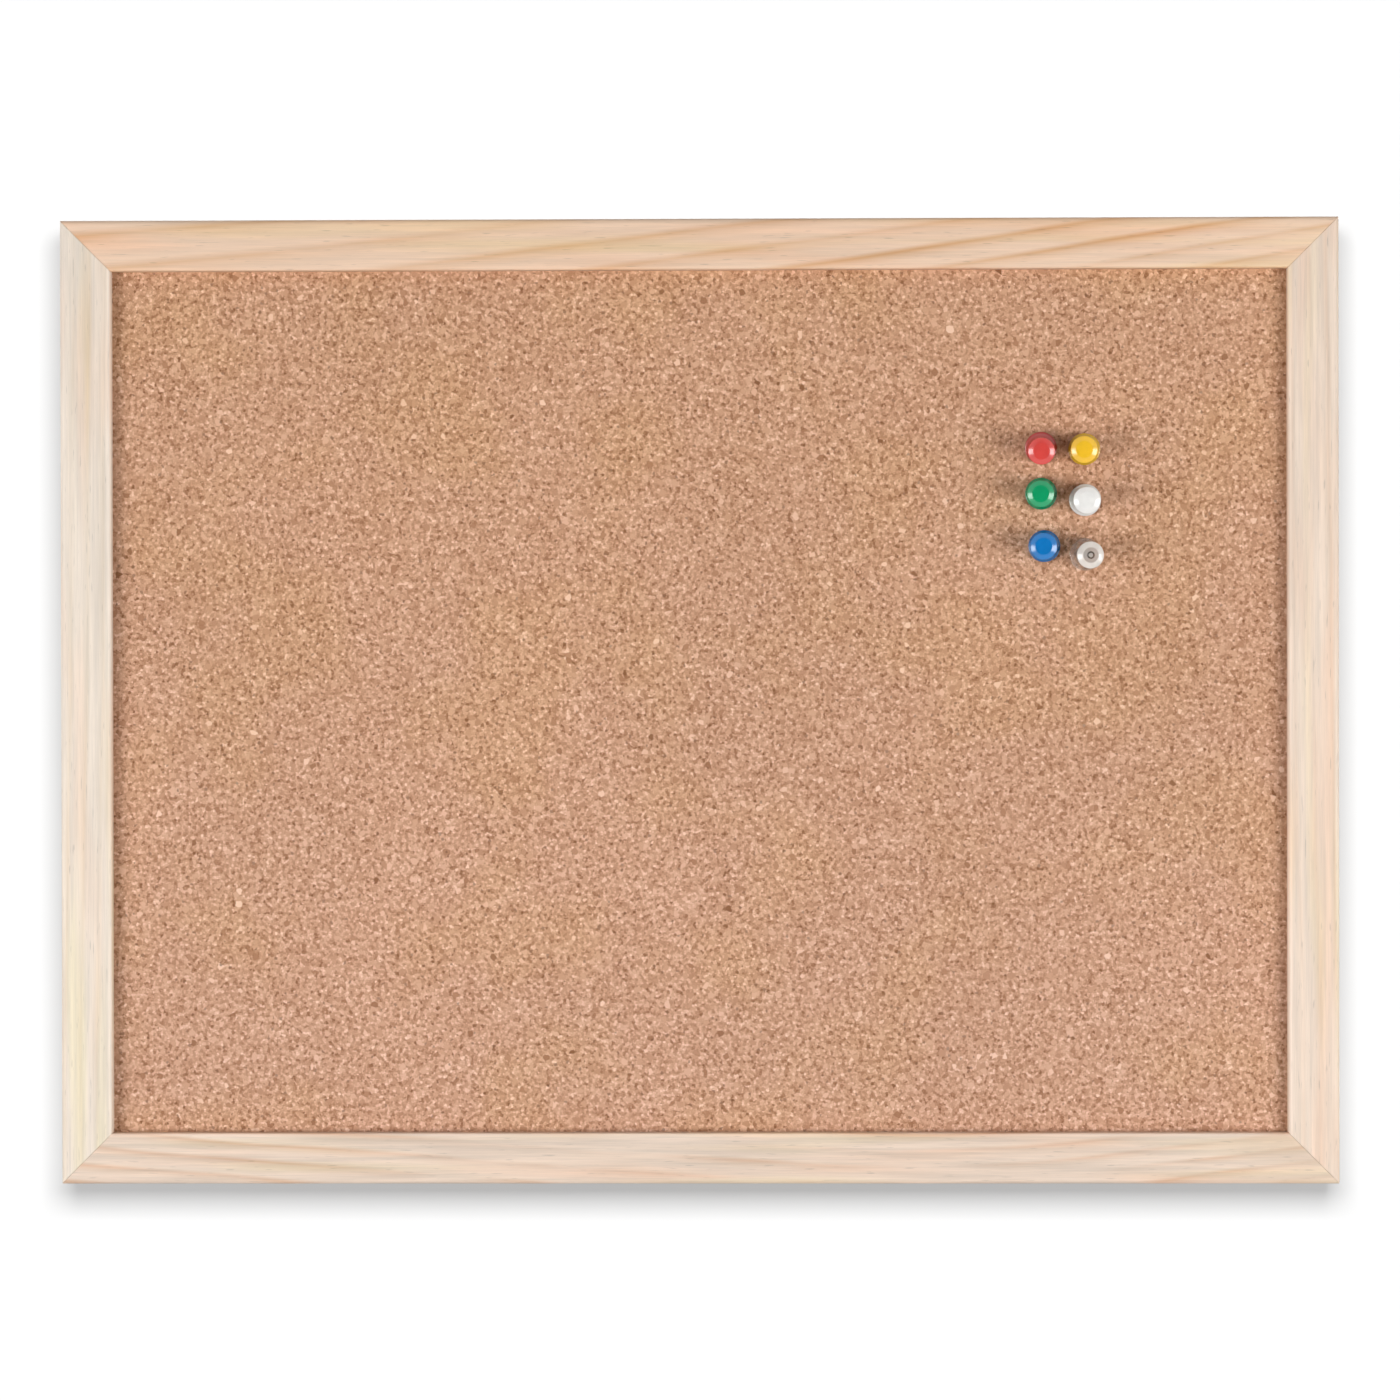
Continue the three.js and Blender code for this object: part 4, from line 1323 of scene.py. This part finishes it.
softboard = fibre_board(
    "softboard", pale=linear(196, 174, 144), dark=linear(160, 136, 106), strand=1.2 * MM, rough=0.85,
)
hardboard = fibre_board(
    "hardboard", pale=linear(142, 105, 72), dark=linear(98, 68, 44), strand=0.9 * MM, rough=0.55,
)
for node, material in (("softboard_core", softboard), ("hardboard_backing", hardboard)):
    sheet = frame["nodes"][node]
    sheet.data.materials.clear()
    sheet.data.materials.append(material)
    print(node, "is finished in", material.name)

# %% [markdown]
# ## Wall and floor
# A product like this is shown flat on white. The wall and the floor are white and seen from the front only,
# so a camera behind the board looks through the wall. A lamp that shines on the wall alone, from above, makes
# the board's soft shadow below it. Where that lamp reaches the wall less, the wall glows more, so that it is
# evenly white. A glow here only shows: it lights nothing.

# %% White backdrops
AMBIENT = 0.28
MATT = 0.9
WHITE = (1, 1, 1, 1)
WALL_ALBEDO = 0.2
WALL_WHITE = 1.014
WALL_LAMP = Vector((0.03, -1.0, 0.275))
WALL_LAMP_SHARE = 0.625
LAMP_FALL = -4.0
FLOOR_ALBEDO = 0.6
FLOOR_GLOW = 0.8


def grey(level):
    return (level, level, level, 1)


def seen_rays(w):
    """One for a ray that the camera, a gloss or a clear piece looks along, and nought for a ray of light."""
    path = w.add("ShaderNodeLightPath").outputs
    mirrored = w.math("MAXIMUM", path["Is Glossy Ray"], path["Is Transmission Ray"])
    return w.math("MAXIMUM", path["Is Camera Ray"], mirrored)


def backdrop(name, albedo):
    """A matt white that is looked through from behind."""
    material, w, shader, place = finish(name)
    w.fill(shader, {"Base Color": grey(albedo), "Roughness": MATT, "Specular IOR Level": 0.0})
    behind = w.add("ShaderNodeNewGeometry").outputs["Backfacing"]
    through = w.add("ShaderNodeBsdfTransparent").outputs[0]
    seen = w.add("ShaderNodeMixShader", {0: behind, 1: shader.outputs[0], 2: through})
    w.feed(material.node_tree.nodes["Material Output"].inputs["Surface"], seen.outputs[0])
    return material, w, shader, place


def glow(w, shader, level):
    """A white glow that shows and lights nothing."""
    w.fill(shader, {"Emission Color": WHITE, "Emission Strength": w.math("MULTIPLY", seen_rays(w), level)})


def lamp_light(w, place):
    """The level that the wall's lamp gives a place: its share where it is aimed, and less farther away."""
    from_lamp = w.vectors("SUBTRACT", place, CENTRE + WALL_LAMP)
    ahead = w.vectors("DOT_PRODUCT", from_lamp, -WALL_LAMP.normalized())
    fall = w.math("MULTIPLY", ahead, w.math("POWER", w.vectors("LENGTH", from_lamp), LAMP_FALL))
    return w.math("MULTIPLY", fall, WALL_LAMP_SHARE * WALL_LAMP.length**3)


wall_white, w, shader, place = backdrop("wall_white", WALL_ALBEDO)
glow(w, shader, w.math("SUBTRACT", WALL_WHITE - AMBIENT * WALL_ALBEDO, lamp_light(w, place)))
floor_white, w, shader, _ = backdrop("floor_white", FLOOR_ALBEDO)
glow(w, shader, FLOOR_GLOW)
print("backdrops:", wall_white.name, floor_white.name)

# %% Wall and floor
WALL_GAP = 6 * MM
FLOOR_DROP = 900 * MM
STAGE_REACH = 12.0


def stage_sheet(name, corner, along, up, material):
    """A sheet from one corner along two sides, facing where their cross product points."""
    corners = [corner, corner + along, corner + along + up, corner + up]
    mesh = bpy.data.meshes.new(name)
    mesh.from_pydata(corners, [], [tuple(range(len(corners)))])
    mesh.materials.append(material)
    obj = temporary(name, mesh)
    return obj


ground = BOTTOM - FLOOR_DROP
stage_width = Vector((2 * STAGE_REACH, 0, 0))
wall_corner = Vector((-STAGE_REACH, BACK + WALL_GAP, ground))
wall = stage_sheet("wall", wall_corner, stage_width, Vector((0, 0, STAGE_REACH - ground)), wall_white)
floor_corner = Vector((-STAGE_REACH, -STAGE_REACH, ground))
floor = stage_sheet("floor", floor_corner, stage_width, Vector((0, 2 * STAGE_REACH, 0)), floor_white)
wall.visible_shadow = False
wall.visible_diffuse = False
for sheet in (wall, floor):
    print(sheet.name, "faces", tuple(sheet.data.polygons[0].normal))

# %% [markdown]
# A camera works from a dark part of the studio. A card behind it, which only gloss can see, is dark in the
# middle and keeps the pins' flat tops deep in colour. Farther out it glows, though it is no lamp, and lays a
# veil on their bevels.

# %% Dark card behind the camera
CARD_HALF = 2.6
CARD_BACK = 1.7
CARD_TONE = 0.02
CARD_DARK = 1.3
CARD_PALE = 1.9
CARD_GLOW = 0.8

card_middle = CENTRE + Vector((0, -CARD_BACK, 0))
card_black, w, shader, place = finish("card_black")
# Beyond the dark middle the card glows, and only gloss sees that glow.
veil = w.band(w.vectors("DISTANCE", place, card_middle), CARD_DARK, CARD_PALE, 0.0, CARD_GLOW)
w.fill(shader, {"Base Color": grey(CARD_TONE), "Emission Color": WHITE, "Emission Strength": veil})
card_corner = card_middle - Vector((CARD_HALF, 0, CARD_HALF))
card_sides = Vector((2 * CARD_HALF, 0, 0)), Vector((0, 0, 2 * CARD_HALF))
card = stage_sheet("dark_card", card_corner, *card_sides, card_black)
card.visible_camera = False
card.visible_diffuse = False
card.visible_shadow = False
print(card.name, "is dark within", CARD_DARK, "m of its middle")

# %% [markdown]
# ## Lamps
# Two softboxes stand left and right of the camera, a little low. They round the pins and draw the lips'
# shadows on the cork. A third lights the back, and the world fills the rest evenly. Light linking keeps the
# softboxes off the stage and the wall's lamp off the board. The levels add up to about one, so a colour
# renders as it is written.

# %% Lamps and world
OBJECT_LAMPS = {
    "left_softbox": dict(offset=(-1.15, -1.0, -0.25), size=(1.0, 0.7), power=15.0),
    "right_softbox": dict(offset=(1.15, -1.0, -0.25), size=(1.0, 0.7), power=15.0),
    "back_softbox": dict(offset=(0, 1.5, 0.35), size=(1.6, 1.2), power=14.0),
}
WALL_LAMP_SIZE = (0.56, 0.395)
WALL_LAMP_POWER = 37.1


def softbox(name, offset, size, power, receivers):
    lamp = bpy.data.lights.new(name, "AREA")
    lamp.shape = "RECTANGLE"
    lamp.size, lamp.size_y = size
    lamp.energy = power
    obj = bpy.data.objects.new(name, lamp)
    bpy.context.scene.collection.objects.link(obj)
    aim = (-Vector(offset)).to_track_quat("-Z", "Y").to_matrix().to_4x4()
    obj.matrix_world = Matrix.Translation(CENTRE + Vector(offset)) @ aim
    obj.visible_camera = False
    obj.light_linking.receiver_collection = receivers


def link_group(name, things, state):
    """A group of things that a lamp shines on alone, or leaves out."""
    group = bpy.data.collections.new(name)
    for thing in things:
        group.objects.link(thing)
    for link in group.collection_objects:
        link.light_linking.link_state = state
    return group


wall_alone = link_group("wall_alone", [wall], "INCLUDE")
stage_left_out = link_group("stage_left_out", [wall, floor], "EXCLUDE")
for name, lamp in OBJECT_LAMPS.items():
    softbox(name, **lamp, receivers=stage_left_out)
softbox("wall_lamp", WALL_LAMP, WALL_LAMP_SIZE, WALL_LAMP_POWER, wall_alone)

world = bpy.data.worlds.new("studio")
bpy.context.scene.world = world
world.use_nodes = True
w = Wiring(world.node_tree)
level = w.math("ADD", AMBIENT, w.math("MULTIPLY", seen_rays(w), 1.0 - AMBIENT))
w.fill(world.node_tree.nodes["Background"], {"Color": WHITE, "Strength": level})
print("ambient", AMBIENT, "and lamps", list(OBJECT_LAMPS), "and the wall's own")

# %% [markdown]
# ## Camera
# The photograph is nearly square on: the camera stands 1.2 m before the board, a little right of its middle,
# and turns back by less than a degree. The lens is long, so the frame's edges stay straight and parallel.

# %% Camera
CAMERA_PLACE = Vector((17.46, -1216.0, -139.64)) * MM
CAMERA_YAW, CAMERA_PITCH, CAMERA_ROLL = (math.radians(a) for a in (0.813, -0.247, 0.108))
CAMERA_LENS = 98.58
CAMERA_NEAR = 0.01

camera = bpy.data.objects.new("camera", bpy.data.cameras.new("camera"))
camera.data.lens = CAMERA_LENS
camera.data.clip_start = CAMERA_NEAR
bpy.context.scene.collection.objects.link(camera)
yaw = Matrix.Rotation(CAMERA_YAW, 4, "Z")
pitch = Matrix.Rotation(CAMERA_PITCH, 4, "X")
roll = Matrix.Rotation(CAMERA_ROLL, 4, "Y")
upright_view = Matrix.Rotation(math.radians(90), 4, "X")
camera.matrix_world = Matrix.Translation(CAMERA_PLACE) @ yaw @ pitch @ roll @ upright_view
bpy.context.scene.camera = camera
bpy.context.scene.view_settings.view_transform = "Standard"
print("camera at", [round(v, 4) for v in CAMERA_PLACE], "lens", CAMERA_LENS)
